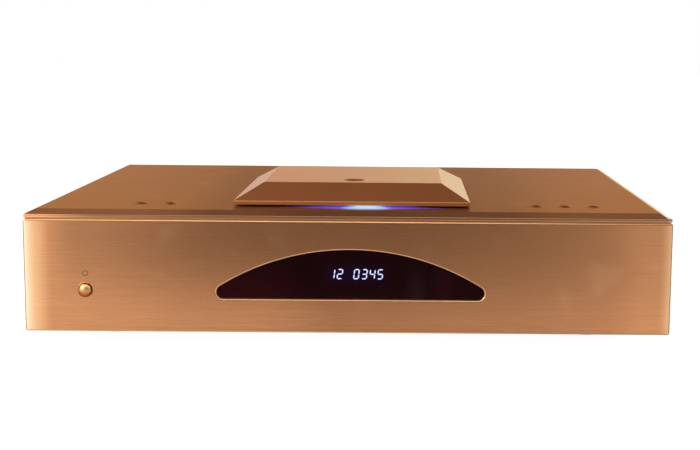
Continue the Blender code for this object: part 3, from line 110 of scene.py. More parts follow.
def pick_up(*pieces: Piece) -> None:
    """Selects only these pieces and makes the first one active."""
    lay_down()
    for piece in pieces:
        piece.select_set(True)
    bpy.context.view_layer.objects.active = pieces[0]


def settle(name: str) -> Piece:
    """Names the primitive that was just added and puts its place into its mesh."""
    piece = bpy.context.active_object
    piece.name = piece.data.name = name
    bpy.ops.object.transform_apply(location=True, rotation=True, scale=True)
    return piece


def block(name: str, low: Point, high: Point) -> Piece:
    """Adds a box between two opposite corners."""
    lay_down()
    middle = [(a + b) / 2 for a, b in zip(low, high)]
    bpy.ops.mesh.primitive_cube_add(size=1, location=middle, scale=[b - a for a, b in zip(low, high)])
    return settle(name)


def drum(name: str, radius: float, ends: Point, centre: Point, along: Along = Along.Z, sides: int = 48) -> Piece:
    """Adds a cylinder.

    Args:
        name: The piece's name.
        radius: Its radius.
        ends: Its two ends, as distances along the axis from the centre.
        centre: A point on its axis.
        along: The axis that it lies on.
        sides: How many sides it has.

    Returns:
        The new piece.
    """
    lay_down()
    middle = Vector(centre) + Vector(along.value) * sum(ends) / 2
    turn = (math.pi / 2, 0, 0) if along is Along.Y else (0, 0, 0)
    bpy.ops.mesh.primitive_cylinder_add(
        vertices=sides, radius=radius, depth=abs(ends[1] - ends[0]), location=middle, rotation=turn
    )
    return settle(name)


@contextmanager
def editing(piece: Piece, kind: str = "VERT") -> Iterator[None]:
    """Holds a piece in edit mode with nothing selected."""
    pick_up(piece)
    bpy.ops.object.mode_set(mode="EDIT")
    bpy.ops.mesh.select_mode(type=kind)
    bpy.ops.mesh.select_all(action="DESELECT")
    yield
    bpy.ops.object.mode_set(mode="OBJECT")


def choose_faces(piece: Piece, test: Callable[[bmesh.types.BMFace], bool]) -> None:
    """Selects the faces that pass a test, in edit mode."""
    for face in bmesh.from_edit_mesh(piece.data).faces:
        if test(face):
            face.select_set(True)
    bmesh.update_edit_mesh(piece.data)


def soften(piece: Piece, width: float, low: Point, high: Point, segments: int = 3) -> None:
    """Rounds the edges that lie wholly inside a box.

    Args:
        piece: The piece to work on.
        width: How wide the rounding is.
        low: The box's lowest corner.
        high: The box's highest corner.
        segments: How many steps the rounding has.
    """
    with editing(piece, "EDGE"):
        for edge in bmesh.from_edit_mesh(piece.data).edges:
            inside = (a <= c <= b for vert in edge.verts for a, c, b in zip(low, vert.co, high))
            if all(inside):
                edge.select_set(True)
        bmesh.update_edit_mesh(piece.data)
        bpy.ops.mesh.bevel(offset=width, segments=segments, affect="EDGES")


def apply_modifier(piece: Piece, kind: str, **settings: object) -> None:
    """Gives a piece a modifier with these settings and applies it."""
    pick_up(piece)
    modifier = piece.modifiers.new(kind.lower(), kind)
    for name, value in settings.items():
        setattr(modifier, name, value)
    bpy.ops.object.modifier_apply(modifier=modifier.name)


def round_edges(piece: Piece, width: float, segments: int = 3, angle: float = SMOOTH_ANGLE) -> None:
    """Rounds every edge that is sharper than an angle."""
    apply_modifier(piece, "BEVEL", width=width, segments=segments, limit_method="ANGLE", angle_limit=angle)


def carve(piece: Piece, *tools: Piece, operation: str = "DIFFERENCE") -> None:
    """Cuts tools out of a piece, or fuses them on, and clears them away."""
    for tool in tools:
        apply_modifier(piece, "BOOLEAN", operation=operation, solver="EXACT", object=tool)
        bpy.data.objects.remove(tool)


def join(name: str, pieces: Sequence[Piece]) -> Piece:
    """Joins pieces into one under a new name."""
    pick_up(*pieces)
    bpy.ops.object.join()
    piece = bpy.context.active_object
    piece.name = piece.data.name = name
    return piece


def copy_to(piece: Piece, name: str, move: Point) -> Piece:
    """Copies a piece with its own mesh, moved by a distance that goes into the mesh."""
    pick_up(piece)
    bpy.ops.object.duplicate_move(TRANSFORM_OT_translate={"value": tuple(move)})
    return settle(name)


class Pen:
    """Draws an outline as by hand: it pulls a point along lines and swings it round arcs."""

    def __init__(self, name: str, start: Point) -> None:
        """Puts a single point down."""
        lay_down()
        bpy.ops.mesh.primitive_plane_add(size=MM, location=start)
        self.piece = settle(name)
        self.tip = Vector(start)
        bpy.ops.object.mode_set(mode="EDIT")
        bpy.ops.mesh.select_mode(type="VERT")
        bpy.ops.mesh.select_all(action="SELECT")
        bpy.ops.mesh.merge(type="CENTER")

    def line_to(self, point: Point) -> "Pen":
        """Draws a straight line to a point."""
        move = Vector(point) - self.tip
        bpy.ops.mesh.extrude_region_move(TRANSFORM_OT_translate={"value": move})
        self.tip = Vector(point)
        return self

    def swing(self, centre: Point, axis: Point, angle: float, steps: int) -> "Pen":
        """Draws an arc, right-handed about an axis; the operator turns the other way."""
        bpy.ops.mesh.spin(steps=steps, angle=-angle, center=centre, axis=axis)
        self.tip = Matrix.Rotation(angle, 3, Vector(axis)) @ (self.tip - Vector(centre)) + Vector(centre)
        return self

    def fill(self, move: Point) -> Piece:
        """Closes the outline with a face and pulls it out into a solid."""
        bpy.ops.mesh.select_all(action="SELECT")
        bpy.ops.mesh.remove_doubles(threshold=MERGE)
        bpy.ops.mesh.edge_face_add()
        bpy.ops.mesh.extrude_region_move(TRANSFORM_OT_translate={"value": tuple(move)})
        return self.put_down()

    def turn(self, centre: Point, along: Along, steps: int) -> Piece:
        """Turns the outline all the way round an axis."""
        bpy.ops.mesh.select_all(action="SELECT")
        bpy.ops.mesh.spin(steps=steps, angle=FULL_TURN, center=centre, axis=along.value)
        return self.put_down()

    def put_down(self) -> Piece:
        """Merges doubled points, points the faces outwards and leaves edit mode."""
        bpy.ops.mesh.select_all(action="SELECT")
        bpy.ops.mesh.remove_doubles(threshold=MERGE)
        bpy.ops.mesh.normals_make_consistent(inside=False)
        bpy.ops.object.mode_set(mode="OBJECT")
        return self.piece


def turned(
    name: str, profile: Sequence[Point], centre: Point, along: Along = Along.Z, steps: int = 64
) -> Piece:
    """Turns a profile about an axis.

    Args:
        name: The piece's name.
        profile: Points of (radius, distance along the axis from the centre). One that starts off
            the axis is closed on itself and makes a ring.
        centre: A point on the axis.
        along: The axis.
        steps: How many sides the turned piece has.

    Returns:
        The new piece.
    """
    points = [Vector(centre) + Vector((radius, 0, 0)) + Vector(along.value) * at for radius, at in profile]
    if profile[0][0] > 0:
        points.append(points[0])
    pen = Pen(name, points[0])
    for point in points[1:]:
        pen.line_to(point)
    return pen.turn(centre, along, steps)


def curve_points(first: float, last: float, steps: int) -> list[float]:
    """Evenly spaced values from first to last."""
    return [first + (last - first) * step / steps for step in range(steps + 1)]


def fit(piece: Piece, finish: "Finish", body: str, slot: str, *nodes: str) -> Piece:
    """Smooths and dresses a finished piece, hangs it on its body and hides the imported nodes that it stands for.

    Args:
        piece: The piece, in its place.
        finish: What it is finished in.
        body: The body that it moves with.
        slot: Not used.
        nodes: The nodes that it stands for.

    Returns:
        The same piece.
    """
    pick_up(piece)
    bpy.ops.object.shade_smooth_by_angle(angle=SMOOTH_ANGLE)
    apply_modifier(piece, "WEIGHTED_NORMAL", keep_sharp=True)
    piece.data.materials.clear()
    piece.data.materials.append(finish.material())
    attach(piece, body)
    if nodes:
        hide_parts(*nodes)
    log.info("%s: %d faces, rides on %s", piece.name, len(piece.data.polygons), body)
    return piece


def tint(code: str) -> Colour:
    """A colour written as six hexadecimal digits, as linear light."""
    shares = [int(code[at : at + 2], 16) / 255 for at in (0, 2, 4)]
    return tuple(share / 12.92 if share <= 0.04045 else ((share + 0.055) / 1.055) ** 2.4 for share in shares)


class Wiring:
    """Adds nodes to a tree, sets their values and links them."""

    def __init__(self, tree: bpy.types.NodeTree) -> None:
        """Works on one tree."""
        self.tree = tree

    def add(self, kind: str, inputs: dict | None = None, **settings: object) -> bpy.types.Node:
        """Adds a node.

        Args:
            kind: The node's type.
            inputs: Values or other nodes' sockets for its inputs, by name or number.
            settings: Values for its properties.

        Returns:
            The new node.
        """
        node = self.tree.nodes.new(kind)
        for name, value in settings.items():
            setattr(node, name, value)
        for key, value in (inputs or {}).items():
            if isinstance(value, Socket):
                self.tree.links.new(value, node.inputs[key])
            elif isinstance(value, tuple) and len(value) == 3 and node.inputs[key].type == "RGBA":
                node.inputs[key].default_value = (*value, 1)
            else:
                node.inputs[key].default_value = value
        return node

    def calc(self, operation: str, *values: float | Socket) -> Socket:
        """Puts values through a Math node."""
        return self.add("ShaderNodeMath", dict(enumerate(values)), operation=operation).outputs[0]

    def grey(self, value: Socket) -> Socket:
        """Makes a value a grey of that brightness."""
        return self.blend(value, (0.0, 0.0, 0.0), (1.0, 1.0, 1.0))

    def blend(self, share: float | Socket, first: Colour | Socket, second: Colour | Socket, mode: str = "MIX") -> Socket:
        """Mixes two colours."""
        inputs = {0: share, 6: first, 7: second}
        return self.add("ShaderNodeMix", inputs, data_type="RGBA", blend_type=mode).outputs[2]

    def span(self, value: Socket, start: float, end: float, low: float = 0.0, high: float = 1.0) -> Socket:
        """Maps a value smoothly from one range to another."""
        inputs = {0: value, 1: start, 2: end, 3: low, 4: high}
        return self.add("ShaderNodeMapRange", inputs, interpolation_type="SMOOTHSTEP").outputs[0]

    def noise(self, vector: Socket, scale: float, detail: float = 2.0, roughness: float = 0.5) -> Socket:
        """A noise value at a place."""
        inputs = {"Vector": vector, "Scale": scale, "Detail": detail, "Roughness": roughness}
        return self.add("ShaderNodeTexNoise", inputs).outputs[0]

    def place(self) -> Socket:
        """The place on the piece, in metres."""
        return self.add("ShaderNodeTexCoord").outputs["Object"]

    def scaled(self, vector: Socket, scale: Point) -> Socket:
        """A place stretched along the axes."""
        return self.add("ShaderNodeMapping", {"Vector": vector, "Scale": tuple(scale)}).outputs[0]

    def split(self, vector: Socket) -> Sequence[Socket]:
        """A place's x, y and z."""
        return self.add("ShaderNodeSeparateXYZ", {0: vector}).outputs

    def bump(self, height: Socket, distance: float) -> Socket:
        """A normal that follows a height."""
        return self.add("ShaderNodeBump", {"Height": height, "Distance": distance}).outputs[0]


def effect(name: str, values: dict[str, float], outputs: Sequence[str]) -> tuple[Wiring, Sequence, Sequence]:
    """Starts a node group that takes a Vector and named values and puts out named values.

    Args:
        name: The group's name.
        values: Its value inputs and their defaults.
        outputs: The names of its value outputs.

    Returns:
        The wiring of its tree, the sockets of its inputs and the sockets of its outputs.
    """
    tree = bpy.data.node_groups.new(name, "ShaderNodeTree")
    tree.interface.new_socket(name="Vector", in_out="INPUT", socket_type="NodeSocketVector")
    for label, value in values.items():
        tree.interface.new_socket(name=label, in_out="INPUT", socket_type="NodeSocketFloat").default_value = value
    for label in outputs:
        tree.interface.new_socket(name=label, in_out="OUTPUT", socket_type="NodeSocketFloat")
    wiring = Wiring(tree)
    return wiring, wiring.add("NodeGroupInput").outputs, wiring.add("NodeGroupOutput").inputs


@cache
def brushing() -> bpy.types.NodeTree:
    """Fine scratches of uneven depth and length, on a place already stretched along the brushing."""
    wiring, given, made = effect("brushing", {"Contrast": 1.0}, ("Scratch", "Band"))
    long = wiring.noise(given["Vector"], 1.0, 3.0, 0.6)
    turned_place = wiring.add("ShaderNodeVectorMath", {0: given["Vector"], 1: (3.7, 91.0, 47.0)}, operation="ADD")
    short = wiring.noise(wiring.scaled(turned_place.outputs[0], (5.0, 0.8, 0.8)), 1.0, 2.0)
    scratch = wiring.calc("MULTIPLY_ADD", short, 0.45, wiring.calc("MULTIPLY", long, 0.55))
    centred = wiring.calc("MULTIPLY", wiring.calc("SUBTRACT", scratch, 0.5), given["Contrast"])
    wiring.tree.links.new(wiring.calc("ADD", centred, 0.5), made["Scratch"])
    band = wiring.noise(wiring.scaled(given["Vector"], (0.3, 0.012, 0.012)), 1.0, 2.0)
    wiring.tree.links.new(band, made["Band"])
    return wiring.tree


@cache
def clouding() -> bpy.types.NodeTree:
    """Soft patches of handling and oxide, wide ones and small brighter spots."""
    wiring, given, made = effect("clouding", {"Scale": 9.0}, ("Patch", "Spot"))
    wide = wiring.add("ShaderNodeTexNoise", {"Vector": given["Vector"], "Scale": given["Scale"], "Detail": 4.0})
    wiring.tree.links.new(wiring.span(wide.outputs[0], 0.3, 0.7), made["Patch"])
    small = wiring.add(
        "ShaderNodeTexNoise",
        {"Vector": given["Vector"], "Scale": wiring.calc("MULTIPLY", given["Scale"], 3.3), "Detail": 1.5},
    )
    wiring.tree.links.new(wiring.span(small.outputs[0], 0.62, 0.8), made["Spot"])
    return wiring.tree


@cache
def graining() -> bpy.types.NodeTree:
    """The even pitting of a blasted, painted or moulded surface."""
    wiring, given, made = effect("graining", {"Scale": 1500.0}, ("Height", "Pit"))
    inputs = {"Vector": given["Vector"], "Scale": given["Scale"]}
    height = wiring.add("ShaderNodeTexNoise", {**inputs, "Detail": 3.0}).outputs[0]
    wiring.tree.links.new(height, made["Height"])
    pit = wiring.add("ShaderNodeTexVoronoi", inputs).outputs["Distance"]
    wiring.tree.links.new(wiring.span(pit, 0.0, 0.5), made["Pit"])
    return wiring.tree


@cache
def edge_wear() -> bpy.types.NodeTree:
    """A mask of the edges that hands and cloths have rubbed, broken up by noise."""
    wiring, given, made = effect("edge_wear", {"Radius": 0.0004, "Amount": 1.0}, ("Worn",))
    rounded = wiring.add("ShaderNodeBevel", {"Radius": given["Radius"]}, samples=4).outputs[0]
    flat = wiring.add("ShaderNodeNewGeometry").outputs["Normal"]
    likeness = wiring.add("ShaderNodeVectorMath", {0: rounded, 1: flat}, operation="DOT_PRODUCT").outputs["Value"]
    edge = wiring.span(likeness, 0.995, 0.90)
    broken = wiring.span(wiring.noise(given["Vector"], 180.0, 4.0, 0.7), 0.35, 0.65)
    wear_and_painted_light = wiring.calc("MULTIPLY", wiring.calc("MULTIPLY", edge, broken), given["Amount"])
    wiring.tree.links.new(wear_and_painted_light, made["Worn"])
    return wiring.tree


@cache
def smudging() -> bpy.types.NodeTree:
    """Faint wipes and fingerprints that change the gloss."""
    wiring, given, made = effect("smudging", {"Scale": 22.0}, ("Smudge",))
    wiped = wiring.add(
        "ShaderNodeTexNoise",
        {"Vector": given["Vector"], "Scale": given["Scale"], "Detail": 6.0, "Distortion": 1.2},
    )
    wiring.tree.links.new(wiring.span(wiped.outputs[0], 0.35, 0.75), made["Smudge"])
    return wiring.tree


@dataclass(frozen=True)
class Finish:
    """A finish: one colour with a little grain, smudging and rubbed edges."""

    name: str
    colour: Colour = (0.5, 0.5, 0.5)
    rubbed: Colour = (0.6, 0.6, 0.6)
    roughness: float = 0.4
    metallic: float = 0.0
    grain: float = 1500.0
    relief: float = 0.02 * MM
    wear: float = 0.4
    edge_tint: Colour = (1.0, 1.0, 1.0)

    @cache
    def material(self) -> bpy.types.Material:
        """The material of this finish, made on first use."""
        made = bpy.data.materials.new(self.name)
        made.use_nodes = True
        shader = made.node_tree.nodes["Principled BSDF"]
        shader.inputs["Metallic"].default_value = self.metallic
        shader.inputs["Specular Tint"].default_value = (*self.edge_tint, 1)
        self.wire(Wiring(made.node_tree), shader)
        return made

    def group(self, wiring: Wiring, tree: bpy.types.NodeTree, vector: Socket, **values: float) -> Sequence:
        """Places a shared effect and returns its outputs."""
        node = wiring.add("ShaderNodeGroup", node_tree=tree)
        wiring.tree.links.new(vector, node.inputs["Vector"])
        for name, value in values.items():
            node.inputs[name].default_value = value
        return node.outputs

    def wire(self, wiring: Wiring, shader: bpy.types.Node) -> None:
        """Wires the colour, the roughness and the relief."""
        place = wiring.place()
        grain = self.group(wiring, graining(), place, Scale=self.grain)
        smudge = self.group(wiring, smudging(), place)["Smudge"]
        wear_and_painted_light = self.group(wiring, edge_wear(), place, Amount=self.wear)["Worn"]
        shade = wiring.blend(wiring.calc("MULTIPLY", grain["Height"], 0.35), self.colour, self.rubbed)
        self.give(wiring, shader, "Base Color", wiring.blend(wear_and_painted_light, shade, self.rubbed))
        low, high = self.roughness * 0.88, self.roughness * 1.18
        self.give(wiring, shader, "Roughness", wiring.span(smudge, 0.0, 1.0, low, high))
        self.give(wiring, shader, "Normal", wiring.bump(grain["Height"], self.relief))

    @staticmethod
    def give(wiring: Wiring, shader: bpy.types.Node, name: str, value: Socket) -> None:
        """Links a value to one of the shader's inputs."""
        wiring.tree.links.new(value, shader.inputs[name])


@dataclass(frozen=True)
class BrushedCopper(Finish):
    """Copper-coloured metal brushed from side to side, with its rounded edges polished."""

    shadow: Colour = (0.5, 0.2, 0.1)
    across: Point = (11.0, 1500.0, 1500.0)
    metallic: float = 1.0
    roughness: float = 0.29
    anisotropy: float = 0.75
    contrast: float = 1.2
    flat: Point = (0.0, 1.0, 0.0)
    edge_roughness: float = 0.28
    edge_span: tuple[float, float] = (0.985, 0.93)

    def wire(self, wiring: Wiring, shader: bpy.types.Node) -> None:
        """Wires the scratches into colour, gloss and relief."""
        place = wiring.place()
        scratch = self.group(
            wiring, brushing(), wiring.scaled(place, self.across), Contrast=self.contrast
        )
        cloud = self.group(wiring, clouding(), place)
        toned = wiring.blend(wiring.span(scratch["Scratch"], 0.25, 0.75), self.shadow, self.colour)
        banded = wiring.blend(wiring.calc("MULTIPLY", scratch["Band"], 0.5), toned, self.shadow)
        clouded = wiring.blend(wiring.calc("MULTIPLY", cloud["Patch"], 0.5), banded, self.colour)
        spotted = wiring.blend(wiring.calc("MULTIPLY", cloud["Spot"], 0.22), clouded, self.rubbed)
        edge = self.edges(wiring)
        polished = wiring.blend(
            edge, self.toned(wiring, place, shader, spotted), self.rim_colour(wiring, place)
        )
        self.give(wiring, shader, "Base Color", polished)
        rough = wiring.span(scratch["Scratch"], 0.2, 0.8, self.roughness * 1.1, self.roughness * 0.9)
        rough = wiring.add("ShaderNodeMix", {0: edge, 2: rough, 3: self.edge_roughness}).outputs[0]
        self.give(wiring, shader, "Roughness", rough)
        height = wiring.calc("MULTIPLY", scratch["Scratch"], wiring.calc("SUBTRACT", 1.0, edge))
        self.give(wiring, shader, "Normal", wiring.bump(height, self.relief))
        shader.inputs["Anisotropic"].default_value = self.anisotropy
        tangent = wiring.add("ShaderNodeTangent", direction_type="RADIAL", axis="X")
        wiring.tree.links.new(tangent.outputs[0], shader.inputs["Tangent"])

    def edges(self, wiring: Wiring) -> Socket:
        """A mask of what turns away from the flat side."""
        normal = wiring.add("ShaderNodeNewGeometry").outputs["Normal"]
        facing = wiring.add("ShaderNodeVectorMath", {0: normal, 1: self.flat}, operation="DOT_PRODUCT")
        return wiring.span(wiring.calc("ABSOLUTE", facing.outputs["Value"]), *self.edge_span)

    def toned(self, wiring: Wiring, place: Socket, shader: bpy.types.Node, colour: Socket) -> Socket:
        """The colour as it is; a plate may paint light and shade on it by place."""
        return colour

    def rim_colour(self, wiring: Wiring, place: Socket) -> Colour | Socket:
        """The colour of the polished edges."""
        return self.rubbed


@dataclass(frozen=True)
class FrontCopper(BrushedCopper):
    """The front's copper, with painted light towards both ends, a near-white painted highlight at its left end and
    painted shade by height.
    """

    half: float = 215 * MM
    # Painted light: a lighter copper painted towards both ends of the front.
    light: Colour = (0.92, 0.53, 0.27)
    light_reach: float = 19 * MM
    # Painted highlight: a near-white colour painted along the left end.
    pale: Colour = (1.0, 0.86, 0.62)
    pale_reach: float = 9 * MM
    right_reach: float = 11 * MM
    # Painted shade: the dark colour painted on the rims at the front's outer ends.
    painted_outer_shade: Colour = (0.16, 0.10, 0.07)
    # Painted shade: darker upwards over the left half and darker over the right half, back to full at the right end.
    height: tuple[float, float] = (20 * MM, 78 * MM)
    height_shade: float = 0.30
    height_ends: Sequence[tuple[float, float]] = ((-205 * MM, -180 * MM), (0.0, -60 * MM))
    steps: Sequence[Point] = (
        (-60 * MM, 0.0, 0.76),
        (20 * MM, 100 * MM, 1.14),
        (170 * MM, 205 * MM, 1.20),
    )

    def painted_light_and_shade(self, wiring: Wiring, place: Socket) -> Socket:
        """Makes a grey of painted shade: darker upwards on the left half, darker over the right half, back to full at
        the right end.
        """
        x, _, z = wiring.split(place)
        rising = wiring.span(z, *self.height)
        for start, end in self.height_ends:
            rising = wiring.calc("MULTIPLY", rising, wiring.span(x, start, end))
        tone = wiring.calc("MULTIPLY_ADD", rising, -self.height_shade, 1.0)
        for start, end, factor in self.steps:
            tone = wiring.calc("MULTIPLY", tone, wiring.span(x, start, end, 1.0, factor))
        return wiring.grey(tone)

    def toned(self, wiring: Wiring, place: Socket, shader: bpy.types.Node, colour: Socket) -> Socket:
        """Paints shade by place, then painted light towards both ends and a near-white painted highlight on the left
        end.
        """
        colour = wiring.blend(1.0, colour, self.painted_light_and_shade(wiring, place), "MULTIPLY")
        wander = wiring.calc("MULTIPLY_ADD", wiring.noise(place, 30.0, 3.0), 3 * MM, -1.5 * MM)
        across = wiring.calc("ADD", wiring.split(place)[0], wander)
        left = wiring.calc("ADD", across, self.half)
        right = wiring.calc("SUBTRACT", self.half, across)
        # Painted light: the right end is painted lighter, and the left end lighter still, with a near-white highlight
        # at its edge.
        wear_and_painted_light = wiring.calc("POWER", wiring.span(right, self.right_reach, 0.0), 2.0)
        colour = wiring.blend(wear_and_painted_light, colour, self.light)
        colour = wiring.blend(wiring.span(left, self.light_reach, 5 * MM), colour, self.light)
        return wiring.blend(wiring.calc("POWER", wiring.span(left, self.pale_reach, 0.0), 1.5), colour, self.pale)

    def rim_colour(self, wiring: Wiring, place: Socket) -> Socket:
        """The polished rims with painted shade: a little darker at the far left, darker towards the right, and dark on
        the outer ends.
        """
        turn = wiring.split(wiring.add("ShaderNodeNewGeometry").outputs["Normal"])[0]
        x = wiring.split(place)[0]
        # Painted shade: the rims' polish dimmed a little at the far left and more towards the right.
        near = wiring.span(x, -210 * MM, -100 * MM, 0.90, 1.0)
        far = wiring.span(x, 40 * MM, 200 * MM, 1.0, 0.58)
        bright = wiring.blend(wiring.calc("MULTIPLY", near, far), (0.0, 0.0, 0.0), self.rubbed)
        at_end = wiring.span(wiring.calc("ABSOLUTE", x), self.half - 1.6 * MM, self.half - 1.2 * MM)
        outer = wiring.calc("MULTIPLY", wiring.span(wiring.calc("ABSOLUTE", turn), 0.35, 0.7), at_end)
        return wiring.blend(outer, bright, self.painted_outer_shade)


@dataclass(frozen=True)
class TopCopper(BrushedCopper):
    """The top plate's copper: a darker strip along its front, painted shade and reflection by place, a painted
    highlight along its right edge, and the light from under the lid painted on it as emission.
    """

    flat: Point = (0.0, 0.0, 1.0)
    strip_end: float = 0.0
    edge_span: tuple[float, float] = (0.9995, 0.985)
    strip_shade: Colour = (0.54, 0.55, 0.67)
    strip_roughness: float = 0.80
    # Painted shade: the strip darker towards its middle, and dark patches on the plate beside the lid.
    painted_strip_dip: tuple[float, float, float] = (10 * MM, 150 * MM, 0.58)
    painted_dips: Sequence[Point] = ((100 * MM, 60 * MM, 0.80), (-92 * MM, 34 * MM, 0.84))
    lid_half: float = 82 * MM
    # Painted reflection: a bluish tint on the plate just ahead of the lid.
    lid_shade: Colour = (0.92, 1.05, 1.60)
    # Painted shade on the front lip, all but its left end.
    lip_shade: float = 0.50
    # Painted highlight: a cream band with a coat along the right edge.
    right_end: float = 214.5 * MM
    painted_highlight_band: float = 3.6 * MM
    anisotropy: float = 0.35
    roughness: float = 0.36
    # Painted light: the glow from under the lid, painted on the plate as emission.
    glow_centre: Point = (0.010, 0.0)
    glow_half: float = 0.068
    glow_reach: float = 0.0135
    glow_deep: Colour = (0.11, 0.095, 0.62)
    glow_pale: Colour = (0.35, 0.66, 0.86)

    def wire(self, wiring: Wiring, shader: bpy.types.Node) -> None:
        """Wires the brushed finish, with the strip along the front left matt."""
        super().wire(wiring, shader)
        rough = shader.inputs["Roughness"].links[0].from_socket
        strip = self.strip_mask(wiring, wiring.split(wiring.place())[1])
        strip = wiring.calc("SUBTRACT", strip, self.edges(wiring))
        strip = wiring.calc("MAXIMUM", strip, 0.0)
        mixed = wiring.add("ShaderNodeMix", {0: strip, 2: rough, 3: self.strip_roughness})
        self.give(wiring, shader, "Roughness", mixed.outputs[0])

    def strip_mask(self, wiring: Wiring, y: Socket) -> Socket:
        """A mask of the strip along the front."""
        return wiring.span(y, self.strip_end - 0.3 * MM, self.strip_end + 0.3 * MM, 1.0, 0.0)

    def toned(self, wiring: Wiring, place: Socket, shader: bpy.types.Node, colour: Socket) -> Socket:
        """Darkens the strip in front and paints shade, reflection and a highlight by place; the glow under the lid is
        painted as emission.
        """
        x, y, z = wiring.split(place)
        # Painted light: the well light's spill is painted on the plate as emission, strongest just ahead of the lid's
        # front edge.
        along = wiring.calc("DIVIDE", wiring.calc("SUBTRACT", x, self.glow_centre[0]), self.glow_half)
        square = wiring.calc("MULTIPLY", along, along)
        width = wiring.calc("MAXIMUM", wiring.calc("SUBTRACT", 1.0, square), 0.0)
        reach = wiring.calc("MULTIPLY_ADD", wiring.calc("POWER", width, 2.0), self.glow_reach, 0.2 * MM)
        ahead = wiring.calc("DIVIDE", wiring.calc("SUBTRACT", self.glow_centre[1], y), reach)
        fade = wiring.span(ahead, 0.1, 1.0, 1.0, 0.0)
        behind = wiring.span(ahead, -0.9, -0.1)
        top = wiring.span(wiring.split(wiring.add("ShaderNodeNewGeometry").outputs["Normal"])[2], 0.5, 0.9)
        strength = wiring.calc("MULTIPLY", wiring.calc("MULTIPLY", fade, behind), top)
        outer = wiring.calc("MULTIPLY", strength, wiring.calc("POWER", width, 2.0))
        core = wiring.calc("MULTIPLY", strength, wiring.span(square, 0.0, 0.08, 1.0, 0.0))
        light = wiring.blend(outer, (0.0, 0.0, 0.0), self.glow_deep)
        light = wiring.blend(core, light, self.glow_pale)
        self.give(wiring, shader, "Emission Color", light)
        shader.inputs["Emission Strength"].default_value = 1.0
        # Painted highlight: a cream band, with a clear coat, along the plate's right edge.
        band = wiring.span(x, self.right_end - self.painted_highlight_band, self.right_end - self.painted_highlight_band * 0.7)
        self.give(wiring, shader, "Coat Weight", band)
        shader.inputs["Coat Roughness"].default_value = 0.30
        shader.inputs["Coat IOR"].default_value = 2.2
        # Painted reflection: a bluish tint on the plate just ahead of the lid.
        aside = wiring.calc("ABSOLUTE", x)
        ahead_of_lid = wiring.span(y, self.glow_centre[1] + 12 * MM, self.glow_centre[1] + 2 * MM)
        by_lid = wiring.calc(
            "MULTIPLY", wiring.span(aside, self.lid_half * 1.06, self.lid_half * 0.92), ahead_of_lid
        )
        shade = wiring.blend(by_lid, (1.0, 1.0, 1.0), self.lid_shade)
        shade = wiring.blend(self.strip_mask(wiring, y), shade, self.strip_shade)
        # Painted shade: the strip darkens towards its middle, and the plate darkens beside the lid.
        near, far, dim = self.painted_strip_dip
        strip = wiring.blend(self.strip_mask(wiring, y), (1.0, 1.0, 1.0), wiring.grey(
            wiring.span(aside, near, far, dim, 1.0)
        ))
        shade = wiring.blend(1.0, shade, strip, "MULTIPLY")
        for centre, reach, dim in self.painted_dips:
            off = wiring.calc("ABSOLUTE", wiring.calc("SUBTRACT", x, centre))
            shade = wiring.blend(1.0, shade, wiring.grey(wiring.span(off, 0.0, reach, dim, 1.0)), "MULTIPLY")
        colour = wiring.blend(1.0, colour, shade, "MULTIPLY")
        return wiring.blend(band, colour, (1.0, 0.86, 0.62))

    def rim_colour(self, wiring: Wiring, place: Socket) -> Socket:
        """The polish of the rounded edges, with painted shade on the front lip but for its left end."""
        normal = wiring.add("ShaderNodeNewGeometry").outputs["Normal"]
        lip = wiring.span(wiring.split(normal)[1], -0.15, -0.35)
        shaded_part = wiring.span(wiring.split(place)[0], -0.214, -0.165)
        shade = wiring.blend(wiring.calc("MULTIPLY", lip, shaded_part), (1.0, 1.0, 1.0), (self.lip_shade,) * 3)
        return wiring.blend(1.0, self.rubbed, shade, "MULTIPLY")


